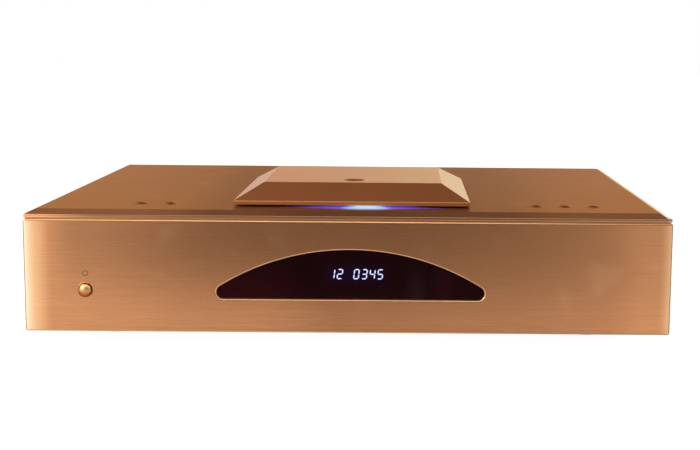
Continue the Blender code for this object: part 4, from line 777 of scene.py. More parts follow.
@dataclass(frozen=True)
class BlastedCopper(Finish):
    """Copper-coloured metal blasted to an even satin, with painted light and shade by facet and across its width."""

    metallic: float = 1.0
    roughness: float = 0.42
    grain: float = 3200.0
    # Painted light and shade: tints for upright faces, left and right facets, the front slope and across the width.
    painted_upright_shade: Colour = (0.80, 0.97, 1.0)
    painted_left_facet_shade: Colour = (0.41, 0.125, 0.036)
    painted_right_facet_light: Colour = (0.66, 0.405, 0.175)
    painted_slope_shade: Colour = (0.93, 0.83, 0.75)
    half: float = 80 * MM
    painted_shade_left: Colour = (0.93, 0.86, 0.56)
    painted_light_right: Colour = (1.05, 1.32, 1.16)

    def wire(self, wiring: Wiring, shader: bpy.types.Node) -> None:
        """Wires fine pits, soft patches, polished edges, and painted light and shade by facet and across the width."""
        place = wiring.place()
        grain = self.group(wiring, graining(), place, Scale=self.grain)
        cloud = self.group(wiring, clouding(), place, Scale=14.0)
        wear_and_painted_light = self.group(wiring, edge_wear(), place, Amount=self.wear)["Worn"]
        dark = wiring.blend(1.0, self.colour, (0.90, 0.88, 0.86), "MULTIPLY")
        shade = wiring.blend(wiring.calc("MULTIPLY_ADD", cloud["Patch"], 0.5, 0.25), dark, self.colour)
        pitted = wiring.blend(wiring.calc("MULTIPLY", grain["Pit"], 0.25), shade, dark)
        rubbed = wiring.blend(wear_and_painted_light, pitted, self.rubbed)
        # Painted light and shade: each facet and each side of the lid gets its own lit or shaded tint.
        turn, ahead, rise = wiring.split(wiring.add("ShaderNodeNewGeometry").outputs["Normal"])
        across = wiring.span(wiring.split(place)[0], -self.half, self.half)
        tone = wiring.blend(across, self.painted_shade_left, self.painted_light_right)
        tone = wiring.blend(wiring.span(ahead, -0.05, -0.20), tone, self.painted_slope_shade)
        rubbed = wiring.blend(1.0, rubbed, tone, "MULTIPLY")
        side = wiring.blend(wiring.span(turn, -0.05, 0.05), self.painted_left_facet_shade, self.painted_right_facet_light)
        sideways = wiring.span(wiring.calc("ABSOLUTE", turn), 0.10, 0.30)
        rubbed = wiring.blend(sideways, rubbed, side)
        upright = wiring.span(wiring.calc("ABSOLUTE", rise), 0.88, 0.70)
        toned = wiring.blend(1.0, rubbed, self.painted_upright_shade, "MULTIPLY")
        self.give(wiring, shader, "Base Color", wiring.blend(upright, rubbed, toned))
        rough = wiring.span(grain["Height"], 0.3, 0.7, self.roughness * 0.92, self.roughness * 1.1)
        self.give(wiring, shader, "Roughness", rough)
        self.give(wiring, shader, "Normal", wiring.bump(grain["Height"], self.relief))


@dataclass(frozen=True)
class GoldWithPaintedShade(Finish):
    """Polished gold with painted shade: it turns to a dark copper towards its lower side."""

    middle_z: float = 0.0
    spread: float = 2.2 * MM
    # Painted shade: the dark copper painted on the lower side.
    lower: Colour = (0.50, 0.17, 0.042)

    def wire(self, wiring: Wiring, shader: bpy.types.Node) -> None:
        """Wires the plain finish, with painted shade darkening its colour towards the bottom."""
        super().wire(wiring, shader)
        gold = shader.inputs["Base Color"].links[0].from_socket
        z = wiring.split(wiring.place())[2]
        low = wiring.span(z, self.middle_z + self.spread, self.middle_z - self.spread)
        self.give(wiring, shader, "Base Color", wiring.blend(low, gold, self.lower))


@dataclass(frozen=True)
class SmokedLens(Finish):
    """Dark smoked acrylic, lightly coated against glare, with faint upright reflections painted into it as emission.
    """

    ior: float = 1.2
    roughness: float = 0.03
    edge_tint: Colour = (0.85, 0.22, 0.24)
    # Painted reflections: a faint even glare and upright bands of reflected light, given off as emission.
    painted_glare: Colour = (0.0050, 0.0012, 0.0016)
    bands: Sequence[tuple[float, float, Colour, float]] = (
        (-66 * MM, 12 * MM, (0.0070, 0.0004, 0.0008), 26 * MM),
        (45 * MM, 3 * MM, (0.0030, 0.0024, 0.0026), 5 * MM),
        (63 * MM, 2 * MM, (0.0045, 0.0003, 0.0018), 5 * MM),
    )

    def wire(self, wiring: Wiring, shader: bpy.types.Node) -> None:
        """Wires a see-through body with faint wipe marks and painted reflections given off as emission."""
        place = wiring.place()
        smudge = self.group(wiring, smudging(), place)["Smudge"]
        shade = wiring.blend(smudge, self.colour, self.rubbed)
        self.give(wiring, shader, "Base Color", shade)
        self.give(wiring, shader, "Roughness", wiring.span(smudge, 0.0, 1.0, 0.0, self.roughness))
        shader.inputs["Transmission Weight"].default_value = 1.0
        shader.inputs["IOR"].default_value = self.ior
        x, y, z = wiring.split(place)
        low = wiring.span(z, 64 * MM, 36 * MM)
        light: Colour | Socket = self.painted_glare
        for middle, half, colour, soft in self.bands:
            away = wiring.calc("ABSOLUTE", wiring.calc("SUBTRACT", x, middle))
            band = wiring.span(away, half, half + soft, 1.0, 0.0)
            light = wiring.blend(wiring.calc("MULTIPLY", band, low), light, colour, "ADD")
        self.give(wiring, shader, "Emission Color", light)
        shader.inputs["Emission Strength"].default_value = 1.0


@dataclass(frozen=True)
class Lit(Finish):
    """A surface that gives light, a little uneven over its length."""

    strength: float = 1.0

    def wire(self, wiring: Wiring, shader: bpy.types.Node) -> None:
        """Wires the light's colour."""
        place = wiring.place()
        uneven = wiring.noise(place, 300.0)
        glow = wiring.blend(wiring.span(uneven, 0.3, 0.7), self.colour, self.rubbed)
        glow = self.faded(wiring, place, glow)
        self.give(wiring, shader, "Base Color", glow)
        self.give(wiring, shader, "Emission Color", glow)
        shader.inputs["Emission Strength"].default_value = self.strength
        shader.inputs["Roughness"].default_value = self.roughness

    def faded(self, wiring: Wiring, place: Socket, glow: Socket) -> Socket:
        """The light as it is; a bar may fade towards its ends."""
        return glow


@dataclass(frozen=True)
class LitBar(Lit):
    """A light bar with one lamp behind it, deeper in colour away from the lamp."""

    lamp_x: float = 10 * MM
    core: float = 16 * MM
    reach: float = 52 * MM
    deep: Colour = (0.07, 0.055, 0.46)

    def faded(self, wiring: Wiring, place: Socket, glow: Socket) -> Socket:
        """Deepens and dims the light with the distance from the lamp."""
        away = wiring.calc("ABSOLUTE", wiring.calc("SUBTRACT", wiring.split(place)[0], self.lamp_x))
        deeper = wiring.blend(wiring.span(away, 0.2 * self.core, self.core), glow, self.deep)
        return wiring.blend(wiring.span(away, 0.5 * self.core, self.reach), deeper, (0.008, 0.004, 0.03))


@dataclass(frozen=True)
class HaloGlass(Finish):
    """Display glass with a faint halo of light painted round its lit numerals."""

    low: Point = (-15 * MM, 0.0, 43 * MM)
    high: Point = (24 * MM, 0.0, 53.5 * MM)
    soft: float = 5 * MM
    halo: Colour = (0.02, 0.05, 0.30)
    strength: float = 0.28

    def wire(self, wiring: Wiring, shader: bpy.types.Node) -> None:
        """Wires the plain finish, and the halo as light."""
        super().wire(wiring, shader)
        x, y, z = wiring.split(wiring.place())
        mask: float | Socket = self.strength
        for value, low, high in ((x, self.low[0], self.high[0]), (z, self.low[2], self.high[2])):
            mask = wiring.calc("MULTIPLY", mask, wiring.span(value, low - self.soft, low + self.soft))
            mask = wiring.calc("MULTIPLY", mask, wiring.span(value, high + self.soft, high - self.soft))
        self.give(wiring, shader, "Emission Color", wiring.blend(mask, (0.0, 0.0, 0.0), self.halo))
        shader.inputs["Emission Strength"].default_value = 1.0


FRONT_COPPER = FrontCopper(
    "brushed_front",
    colour=(0.71, 0.326, 0.152),
    shadow=(0.60, 0.270, 0.123),
    rubbed=(1.0, 0.61, 0.33),
    relief=0.004 * MM,
)
SIDE_COPPER = BrushedCopper(
    "brushed_side",
    colour=(0.64, 0.290, 0.130),
    shadow=(0.53, 0.235, 0.104),
    rubbed=(0.85, 0.48, 0.26),
    across=(1900.0, 14.0, 1900.0),
    flat=(1.0, 0.0, 0.0),
    relief=0.004 * MM,
    anisotropy=0.5,
)
LID_COPPER = BlastedCopper(
    "blasted_lid",
    colour=(0.95, 0.400, 0.180),
    rubbed=(0.96, 0.52, 0.27),
    relief=0.004 * MM,
    wear=0.6,
    edge_tint=(1.0, 0.98, 0.88),
)
GOLD = GoldWithPaintedShade(
    "polished_gold",
    colour=(1.0, 0.70, 0.34),
    rubbed=(1.0, 0.80, 0.48),
    roughness=0.33,
    metallic=1.0,
    relief=0.002 * MM,
)
DARK_BRONZE = Finish(
    "dark_bronze",
    colour=(0.10, 0.036, 0.012),
    rubbed=(0.30, 0.13, 0.05),
    roughness=0.40,
    metallic=1.0,
    relief=0.004 * MM,
    edge_tint=(0.30, 0.16, 0.08),
)
KEY_RING = Finish(
    "key_ring",
    colour=(0.60, 0.27, 0.12),
    rubbed=(0.80, 0.45, 0.24),
    roughness=0.36,
    metallic=1.0,
    relief=0.002 * MM,
    edge_tint=(0.62, 0.40, 0.24),
)
# The collar is a real lining of the button's hole; its dark copper also paints the shade in the gap round the button.
DARK_COPPER = Finish(
    "dark_copper",
    colour=(0.42, 0.175, 0.065),
    rubbed=(0.62, 0.28, 0.12),
    roughness=0.38,
    metallic=1.0,
    relief=0.002 * MM,
)
# The groove strip is a real folded edge; its copper, darker than the face's, also paints the shade in the groove.
GROOVE_COPPER = Finish(
    "groove_copper",
    colour=(0.56, 0.245, 0.092),
    rubbed=(0.66, 0.32, 0.14),
    roughness=0.42,
    metallic=1.0,
    relief=0.002 * MM,
)
SMOKED = SmokedLens("smoked_acrylic", colour=(0.20, 0.11, 0.13), rubbed=(0.18, 0.10, 0.12))
DISPLAY_GLASS = HaloGlass(
    "display_glass", colour=(0.004, 0.004, 0.008), rubbed=(0.010, 0.010, 0.018), roughness=0.12, relief=0.0, wear=0.2
)
NUMERAL_LIGHT = Lit("numeral_light", colour=(0.38, 0.74, 0.92), rubbed=(0.42, 0.80, 1.0), strength=11.0)
BAR_LIGHT = LitBar("bar_light", colour=(0.30, 0.56, 0.84), rubbed=(0.40, 0.64, 0.90), strength=1.0)
MARKING = Finish("marking_paint", colour=(0.030, 0.014, 0.008), rubbed=(0.10, 0.05, 0.03), roughness=0.6, relief=0.0)
BLACK_PAINT = Finish(
    "black_paint", colour=(0.020, 0.019, 0.018), rubbed=(0.10, 0.10, 0.10), roughness=0.5, grain=1100.0, relief=0.06 * MM
)
ZINC = Finish(
    "zinc_steel", colour=(0.50, 0.50, 0.48), rubbed=(0.66, 0.65, 0.60), roughness=0.36, metallic=1.0, grain=240.0
)
POLISHED_STEEL = Finish(
    "polished_steel", colour=(0.66, 0.66, 0.67), rubbed=(0.80, 0.80, 0.80), roughness=0.16, metallic=1.0,
    relief=0.002 * MM,
)
BLACK_PLASTIC = Finish(
    "black_plastic", colour=(0.018, 0.018, 0.019), rubbed=(0.07, 0.07, 0.07), roughness=0.42, grain=1800.0
)
WHITE_PLASTIC = Finish("white_plastic", colour=(0.74, 0.72, 0.66), rubbed=(0.82, 0.80, 0.76), roughness=0.38)
RED_PLASTIC = Finish("red_plastic", colour=(0.42, 0.020, 0.014), rubbed=(0.60, 0.10, 0.08), roughness=0.35)
RUBBER = Finish("rubber", colour=(0.016, 0.016, 0.016), rubbed=(0.05, 0.05, 0.05), roughness=0.82, grain=900.0)
BOARD = Finish("board_green", colour=(0.012, 0.100, 0.045), rubbed=(0.05, 0.22, 0.10), roughness=0.35, grain=400.0)
WINDING = Finish("copper_winding", colour=(0.40, 0.16, 0.04), rubbed=(0.62, 0.30, 0.10), roughness=0.4, metallic=0.4)
SLEEVE = Finish("sleeve_blue", colour=(0.012, 0.040, 0.17), rubbed=(0.06, 0.12, 0.34), roughness=0.32, relief=0.0)
OPTIC = Finish("optic", colour=(0.10, 0.14, 0.30), rubbed=(0.30, 0.36, 0.60), roughness=0.05, relief=0.0, wear=0.0)


@dataclass
class WindowOutline:
    """The arched window: a straight sill, round corners and a wide arc."""

    sill: float = 32.7 * MM
    apex: float = 66.3 * MM
    arc: float = 164 * MM
    corner: float = 4.7 * MM
    corner_steps: int = 16
    arc_steps: int = 64

    def panel(self, name: str, inset: float, front: float, rear: float) -> Piece:
        """Models a solid of this outline.

        Args:
            name: The piece's name.
            inset: How far the outline is drawn in.
            front: Y of its front.
            rear: Y of its rear.

        Returns:
            The new piece.
        """
        arc, corner = self.arc - inset, self.corner - inset
        middle = self.middle()
        low = self.sill + inset
        arc_z = self.apex - self.arc
        corner_z = low + corner
        corner_x = math.sqrt((arc - corner) ** 2 - (corner_z - arc_z) ** 2)
        slope = math.atan2(corner_z - arc_z, corner_x)
        forwards = (0, -1, 0)
        pen = Pen(name, (middle + corner_x, front, low))
        pen.swing((middle + corner_x, front, corner_z), forwards, math.pi / 2 + slope, self.corner_steps)
        pen.swing((middle, front, arc_z), forwards, math.pi - 2 * slope, self.arc_steps)
        pen.swing((middle - corner_x, front, corner_z), forwards, math.pi / 2 + slope, self.corner_steps)
        return pen.fill((0, rear - front, 0))

    @staticmethod
    def middle() -> float:
        """X of the window's middle."""
        low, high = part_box("window_lens")
        return (low.x + high.x) / 2

    def bounds(self, front: float) -> tuple[Point, Point]:
        """A thin box round the outline at a front plane."""
        half = self.arc
        return (-half, front - HAIR, self.sill - OVERRUN), (half, front + HAIR, self.apex + OVERRUN)


WINDOW = WindowOutline()


@dataclass
class Faceplate:
    """The thick brushed front with its arched window and its button hole."""

    thick: float = 10 * MM
    edge: float = 1.5 * MM
    rim: float = 1.0 * MM
    hole: float = 4.7 * MM
    hole_rim: float = 0.6 * MM
    boss: float = 3 * MM
    display_boss_x: float = 80 * MM
    display_boss_rise: float = 19 * MM
    switch_boss_x: float = 13 * MM

    def build(self) -> None:
        """Models the plate, cuts it open and rounds its rims."""
        low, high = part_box("faceplate")
        front, rear = low.y, low.y + self.thick
        plate = block("front_plate", low, (high.x, rear, high.z))
        round_edges(plate, self.edge, 5)
        carve(plate, WINDOW.panel("window_cutter", 0, front - OVERRUN, rear + OVERRUN))
        soften(plate, self.rim, *WINDOW.bounds(front), 4)
        button = self.button_centre()
        reach = (-OVERRUN, self.thick + OVERRUN)
        carve(plate, drum("hole_cutter", self.hole, reach, (button.x, front, button.z), Along.Y, 64))
        around = Vector((self.hole + HAIR, HAIR, self.hole + HAIR))
        centre = Vector((button.x, front, button.z))
        soften(plate, self.hole_rim, centre - around, centre + around, 3)
        carve(plate, *self.bosses(rear), operation="UNION")
        fit(plate, FRONT_COPPER, "chassis", "front_copper", "faceplate")
        self.add_groove_strip(low, high)
        self.add_collar(front, button)
        self.add_power_mark(front, button)

    def add_groove_strip(self, low: Vector, high: Vector) -> None:
        """The strip that closes the groove between the faceplate and the top plate."""
        setback, deep, inset = 0.9 * MM, 3 * MM, 2 * MM
        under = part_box("top_plate")[1].z - 2.8 * MM
        strip = block(
            "groove_strip",
            (low.x + inset, low.y + setback, high.z - 0.5 * MM),
            (high.x - inset, low.y + deep, under + 0.4 * MM),
        )
        round_edges(strip, 0.12 * MM, 2)
        fit(strip, GROOVE_COPPER, "chassis", "front_copper")

    def add_collar(self, front: float, button: Vector) -> None:
        """The collar that lines the button's hole."""
        inner, outer = self.hole - 0.42 * MM, self.hole - 0.02 * MM
        start, end = self.hole_rim * 0.75, self.thick - 0.5 * MM
        profile = [(inner, start + 0.15 * MM), (inner + 0.15 * MM, start), (outer, start), (outer, end), (inner, end)]
        collar = turned("power_collar", profile, Vector((button.x, front, button.z)), Along.Y, 72)
        fit(collar, DARK_COPPER, "chassis", "front_copper")

    @staticmethod
    def button_centre() -> Vector:
        """The middle of the power button."""
        low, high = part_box("power_button")
        return (low + high) / 2

    def bosses(self, rear: float) -> list[Piece]:
        """The bosses behind the plate that the display board and the switch sit on."""
        board_low, board_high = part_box("display_board")
        middle = (board_low.z + board_high.z) / 2
        board_end = board_low.y - SEAT
        places = [
            (side * self.display_boss_x, middle + rise * self.display_boss_rise, board_end)
            for side in (-1, 1)
            for rise in (-1, 1)
        ]
        button = self.button_centre()
        switch_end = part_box("power_switch")[0].y - SEAT
        places += [(button.x + side * self.switch_boss_x, button.z, switch_end) for side in (-1, 1)]
        return [
            drum("boss", self.boss, (-BITE, end - rear), (x, rear, z), Along.Y, 24) for x, z, end in places
        ]

    def add_power_mark(self, front: float, button: Vector) -> None:
        """The plain mains sign over the button: a ring open at its top, with a stroke in it."""
        radius, stroke, proud = 1.8 * MM, 0.42 * MM, 0.03 * MM
        centre = Vector((button.x, front - proud, button.z + 11.3 * MM))
        gap = math.radians(34)
        start = math.pi / 2 + gap
        out = Vector((math.cos(start), 0, math.sin(start)))
        pen = Pen("power_mark_ring", centre + out * (radius - stroke / 2))
        pen.line_to(centre + out * (radius + stroke / 2))
        bpy.ops.mesh.select_all(action="SELECT")
        pen.swing(centre, (0, -1, 0), FULL_TURN - 2 * gap, 40)
        bpy.ops.mesh.select_all(action="SELECT")
        bpy.ops.mesh.extrude_region_move(TRANSFORM_OT_translate={"value": (0, proud, 0)})
        ring = pen.put_down()
        half = stroke / 2
        bar = block(
            "power_mark_bar",
            (centre.x - half, front - proud, centre.z + 0.35 * radius),
            (centre.x + half, front, centre.z + 1.35 * radius),
        )
        fit(join("power_mark", [ring, bar]), MARKING, "chassis", "black_plastic")


@dataclass
class DisplayWindow:
    """The smoked lens, the display behind it and its lit numerals."""

    shown: str = "120345"
    middles: Sequence[float] = (-11.7 * MM, -6.4 * MM, 4.7 * MM, 10.1 * MM, 15.4 * MM, 20.7 * MM)
    middle_z: float = 48.2 * MM
    tall: float = 7.0 * MM
    wide: float = 3.9 * MM
    stroke: float = 0.76 * MM
    gap: float = 0.18 * MM
    slant: float = 0.13
    thick: float = 0.1 * MM
    frame_width: float = 1.6 * MM
    frame_depth: float = 0.3 * MM

    def build(self) -> None:
        """Models the lens, the display and the numerals."""
        low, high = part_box("window_lens")
        lens = WINDOW.panel("smoked_window", SEAT, low.y, high.y)
        round_edges(lens, 0.3 * MM)
        fit(lens, SMOKED, "chassis", "smoked_lens", "window_lens")
        low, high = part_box("display_module")
        tube = block("display_tube", low, high)
        round_edges(tube, 0.75 * MM, 4)
        with editing(tube, "FACE"):
            choose_faces(tube, lambda face: face.normal.y < -0.99)
            bpy.ops.mesh.inset(thickness=self.frame_width)
            bpy.ops.transform.translate(value=(0, self.frame_depth, 0))
        fit(tube, DISPLAY_GLASS, "chassis", "display_glass", "display_module")
        self.build_numerals(low.y + self.frame_depth - SEAT / 3)

    def bar(self, name: str, start: tuple[float, float], end: tuple[float, float], y: float) -> Piece:
        """One bar of a numeral, pointed at both ends and slanted as the numeral is.

        Args:
            name: The piece's name.
            start: Its lower or left end, as (x, z) from the numeral's middle before the slant.
            end: Its upper or right end.
            y: The plane of its front.

        Returns:
            The new piece.
        """
        a, b = Vector(start), Vector(end)
        run = (b - a).normalized()
        side = Vector((-run.y, run.x)) * self.stroke / 2
        point = run * self.stroke / 2
        corners = [a, a + point + side, b - point + side, b, b - point - side, a + point - side, a]
        places = [Vector((c.x + c.y * self.slant, y, self.middle_z + c.y)) for c in corners]
        pen = Pen(name, places[0])
        for place in places[1:]:
            pen.line_to(place)
        return pen.fill((0, -self.thick, 0))

    def build_numerals(self, y: float) -> None:
        """Models each kind of bar once and copies it to where a numeral lights it."""
        half_wide, half_tall = (self.wide - self.stroke) / 2, (self.tall - self.stroke) / 2
        flat = self.bar("flat_bar", (-half_wide + self.gap, 0), (half_wide - self.gap, 0), y)
        upright = self.bar("upright_bar", (0, -half_tall / 2 + self.gap), (0, half_tall / 2 - self.gap), y)
        lit = []
        for number, (character, middle) in enumerate(zip(self.shown, self.middles)):
            for name in NUMERALS[character].split():
                column, row = Segment[name].value
                rise = row * half_tall / 2
                move = (middle + column * half_wide + rise * self.slant, 0, rise)
                lit.append(copy_to(upright if column else flat, f"bar_{number}_{name}", move))
        bpy.data.objects.remove(flat)
        bpy.data.objects.remove(upright)
        fit(join("display_numerals", lit), NUMERAL_LIGHT, "chassis", "light_bar")


@dataclass
class PowerButton:
    """The gold domed button and its stem."""

    radius: float = 4.05 * MM
    dome: float = 2.0 * MM
    stem_radius: float = 2.4 * MM
    stem_length: float = 11 * MM
    lip: float = 0.25 * MM

    def build(self) -> None:
        """Turns the button."""
        low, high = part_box("power_button")
        centre = Vector(((low.x + high.x) / 2, low.y, (low.z + high.z) / 2))
        back = high.y - low.y - self.stem_length
        profile = [
            (self.radius * math.sin(angle), self.dome * (1 - math.cos(angle)))
            for angle in curve_points(0, math.pi / 2, 14)
        ]
        profile += [
            (self.radius, back - self.lip),
            (self.radius - self.lip, back),
            (self.stem_radius, back),
            (self.stem_radius, high.y - low.y - self.lip),
            (self.stem_radius - self.lip, high.y - low.y),
            (0, high.y - low.y),
        ]
        button = turned("power_knob", profile, centre, Along.Y, 72)
        fit(button, replace(GOLD, middle_z=centre.z + 0.3 * MM), "power_button", "gold", "power_button")


class Sign(Enum):
    """The plain signs beside the keys: each a row of bars and arrows, widths in half signs."""

    PREVIOUS = "bar left"
    NEXT = "right bar"
    STOP = "block"
    PAUSE = "bar bar"
    PLAY = "right"


@dataclass
class Keys:
    """The five small keys on top, each with a flange under the plate and a plain sign beside it."""

    radius: float = 4.0 * MM
    crown: float = 0.4 * MM
    flange_radius: float = 5.2 * MM
    flange_thick: float = 1.8 * MM
    stem_radius: float = 2.0 * MM
    edge: float = 0.35 * MM
    sign_tall: float = 1.9 * MM
    sign_setback: float = 6.3 * MM
    ring_inner: float = 2.9 * MM
    ring_outer: float = 3.9 * MM
    sign_proud: float = 0.03 * MM

    def build(self) -> None:
        """Turns one key and copies it to the five places, each with its sign."""
        first = None
        for sign in Sign:
            node = f"key_{sign.name.lower()}"
            low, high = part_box(node)
            middle = (low + high) / 2
            self.print_sign(sign, middle)
            if first is None:
                first, home = self.turn_key(low, high), middle
                cap, ring = first, self.turn_ring(low, high)
                first_ring = ring
            else:
                cap = copy_to(first, f"{node}_cap", middle - home)
                ring = copy_to(first_ring, f"{node}_ring", middle - home)
            fit(cap, DARK_BRONZE, node, "case_copper", node)
            fit(ring, KEY_RING, node, "case_copper")

    def print_sign(self, sign: Sign, key: Vector) -> None:
        """Prints a sign on the plate, to the left of its key."""
        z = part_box("top_plate")[1].z
        half = self.sign_tall / 2
        x, y = key.x - self.sign_setback, key.y
        marks = []
        for shape in sign.value.split():
            wide = self.sign_tall * {"bar": 0.28, "block": 1.0, "left": 0.85, "right": 0.85}[shape]
            if shape in ("bar", "block"):
                corners = ((x, y - half), (x + wide, y - half), (x + wide, y + half), (x, y + half))
            elif shape == "right":
                corners = ((x, y - half), (x + wide, y), (x, y + half))
            else:
                corners = ((x, y), (x + wide, y - half), (x + wide, y + half))
            pen = Pen("sign_mark", (*corners[0], z))
            for corner in (*corners[1:], corners[0]):
                pen.line_to((*corner, z))
            marks.append(pen.fill((0, 0, self.sign_proud)))
            x += wide + self.sign_tall * 0.2
        fit(join(f"sign_{sign.name.lower()}", marks), MARKING, "chassis", "black_plastic")

    def turn_key(self, low: Vector, high: Vector) -> Piece:
        """Turns a key in the first key's place."""
        centre = Vector(((low.x + high.x) / 2, (low.y + high.y) / 2, 0))
        flange_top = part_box("disc_well")[1].z
        rim_z = high.z - self.crown
        crown = [
            ((self.radius - self.edge) * share, high.z - self.crown * 0.55 * share * share)
            for share in curve_points(0, 1, 6)
        ]
        profile = [
            *crown,
            (self.radius - self.edge * 0.3, rim_z + self.crown * 0.2),
            (self.radius, rim_z - self.edge),
            (self.radius, flange_top),
            (self.flange_radius, flange_top),
            (self.flange_radius, flange_top - self.flange_thick),
            (self.stem_radius, flange_top - self.flange_thick),
            (self.stem_radius, low.z),
            (0, low.z),
        ]
        return turned("key_previous_cap", profile, centre, Along.Z, 48)


    def turn_ring(self, low: Vector, high: Vector) -> Piece:
        """Turns the thin bright ring that lies on the first key's rim."""
        centre = Vector(((low.x + high.x) / 2, (low.y + high.y) / 2, high.z))
        under = -(self.crown + self.edge)
        middle = (self.ring_inner + self.ring_outer) / 2
        profile = [
            (self.ring_inner, under),
            (self.ring_inner, -0.12 * MM),
            (self.ring_inner + 0.12 * MM, -0.02 * MM),
            (middle, 0.0),
            (self.ring_outer - 0.25 * MM, -0.08 * MM),
            (self.ring_outer, -0.30 * MM),
            (self.ring_outer, under),
        ]
        return turned("key_previous_ring", profile, centre, steps=48)


@dataclass
class TopPlate:
    """The top plate, open for the disc, the lid's blades, the light and the keys."""

    thick: float = 2.8 * MM
    edge: float = 1.1 * MM
    well_radius: float = 63 * MM
    well_edge: float = 0.5 * MM
    key_hole: float = 4.4 * MM
    key_edge: float = 0.35 * MM
    slot_half: float = 1.9 * MM
    slot_edge: float = 0.2 * MM
    pocket_deep: float = 1.8 * MM
    boss: float = 3 * MM
    key_boss_end: float = 12 * MM
    strip_depth: float = 25.5 * MM

    def build(self) -> None:
        """Models the plate with its openings and the bosses under it."""
        low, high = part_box("top_plate")
        low.z = high.z - self.thick
        plate = block("top_cover", low, high)
        round_edges(plate, self.edge, 5)
        self.cut_openings(plate, low, high)
        carve(plate, *self.bosses(low.z), operation="UNION")
        lid_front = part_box("lid")[0].y
        finish = TopCopper(
            "brushed_top",
            colour=(0.64, 0.280, 0.122),
            shadow=(0.54, 0.232, 0.100),
            rubbed=(0.88, 0.47, 0.24),
            relief=0.004 * MM,
            edge_tint=(0.57, 0.385, 0.235),
            strip_end=low.y + self.strip_depth,
            glow_centre=(0.010, lid_front),
        )
        fit(plate, finish, "chassis", "case_copper", "top_plate")

    def cut_openings(self, plate: Piece, low: Vector, high: Vector) -> None:
        """Cuts the round opening, the slots, the light's pocket and the key holes, and eases their edges."""
        well_low, well_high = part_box("disc_well")
        well = (well_low + well_high) / 2
        ends = (low.z - OVERRUN, high.z + OVERRUN)
        flat = Vector((HAIR, HAIR, HAIR))
        carve(plate, drum("well_cutter", self.well_radius, ends, (well.x, well.y, 0), sides=160))
        around = Vector((self.well_radius, self.well_radius, 0)) + flat
        centre = Vector((well.x, well.y, high.z))
        soften(plate, self.well_edge, centre - around, centre + around)
        for side in ("left", "right"):
            rail_low, rail_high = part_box(f"lid_rail_{side}")
            x = (rail_low.x + rail_high.x) / 2
            front, rear = rail_low.y + 4 * MM, rail_high.y - 4 * MM
            slot_low = Vector((x - self.slot_half, front, ends[0]))
            slot_high = Vector((x + self.slot_half, rear, ends[1]))
            carve(plate, block("slot_cutter", slot_low, slot_high))
            slot_low.z = slot_high.z = high.z
            soften(plate, self.slot_edge, slot_low - flat, slot_high + flat, 2)
        light_low, light_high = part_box("well_light")
        light_low -= Vector((SEAT, SEAT, SEAT))
        light_high += Vector((SEAT, SEAT, OVERRUN))
        carve(plate, block("light_cutter", light_low, light_high))
        for node in ("key_previous", "key_next", "key_stop", "key_pause", "key_play"):
            key_low, key_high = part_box(node)
            centre = Vector(((key_low.x + key_high.x) / 2, (key_low.y + key_high.y) / 2, 0))
            carve(plate, drum("key_cutter", self.key_hole, ends, centre, sides=48))
            centre.z = high.z
            around = Vector((self.key_hole, self.key_hole, 0)) + flat
            soften(plate, self.key_edge, centre - around, centre + around)

    def bosses(self, under: float) -> list[Piece]:
        """The posts under the plate that carry the key boards."""
        made = []
        for board, keys in (
            ("key_board_left", ("key_previous", "key_next")),
            ("key_board_right", ("key_stop", "key_play")),
        ):
            ends = [sum(corner.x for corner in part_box(node)) / 2 for node in keys]
            board_low, board_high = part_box(board)
            y = (board_low.y + board_high.y) / 2
            start = board_low.z + 1.6 * MM + SEAT
            made += [
                drum("key_boss", self.boss, (start, under + BITE), (x, y, 0), sides=24)
                for x in (ends[0] - self.key_boss_end, ends[1] + self.key_boss_end)
            ]
        return made


@dataclass
class Lid:
    """The sliding lid: a low pyramid with a flat top, a finger dimple and a hollow for the disc."""

    upright: float = 2.7 * MM
    slope_run: float = 19.6 * MM
    edge: float = 0.4 * MM
    roof: float = 4.0 * MM
    pocket: float = 62 * MM
    pocket_top: float = 48 * MM
    dimple: float = 8.0 * MM
    dimple_deep: float = 1.8 * MM
    dimple_setback: float = 15.0 * MM

    def build(self) -> None:
        """Models the lid from a thin block whose top is drawn in and raised."""
        low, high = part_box("lid")
        lid = block("lid_shell", low, (high.x, high.y, low.z + self.upright))
        with editing(lid, "FACE"):
            choose_faces(lid, lambda face: face.normal.z > 0.9)
            bpy.ops.mesh.inset(thickness=self.slope_run)
            bpy.ops.transform.translate(value=(0, 0, high.z - low.z - self.upright))
        round_edges(lid, self.edge, 4, math.radians(15))
        centre = Vector(((low.x + high.x) / 2, (low.y + high.y) / 2, 0))
        ceiling = high.z - self.roof
        start = low.z - OVERRUN
        spread = (self.pocket - self.pocket_top) / (ceiling - low.z) * OVERRUN
        profile = ((0, start), (self.pocket + spread, start), (self.pocket_top, ceiling), (0, ceiling))
        carve(lid, turned("pocket_cutter", profile, centre, steps=128))
        bowl = (self.dimple**2 + self.dimple_deep**2) / (2 * self.dimple_deep)
        dent = Vector((centre.x, low.y + self.slope_run + self.dimple_setback, high.z))
        lay_down()
        bpy.ops.mesh.primitive_uv_sphere_add(
            segments=96, ring_count=96, radius=bowl, location=dent + Vector((0, 0, bowl - self.dimple_deep))
        )
        carve(lid, settle("dimple_cutter"))
        around = Vector((self.dimple, self.dimple, 0)) + Vector((HAIR,) * 3) * 5
        soften(lid, 0.3 * MM, dent - around, dent + around)
        fit(lid, LID_COPPER, "lid", "lid_copper", "lid")


@dataclass
class SidePanels:
    """The two plain panels between the faceplate and the rear."""

    edge: float = 0.5 * MM

    def build(self) -> None:
        """Models each panel as a plate with eased edges."""
        for side in ("left", "right"):
            low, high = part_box(f"side_panel_{side}")
            panel = block(f"side_cover_{side}", low, high)
            round_edges(panel, self.edge, 3)
            fit(panel, SIDE_COPPER, "chassis", "case_copper", f"side_panel_{side}")


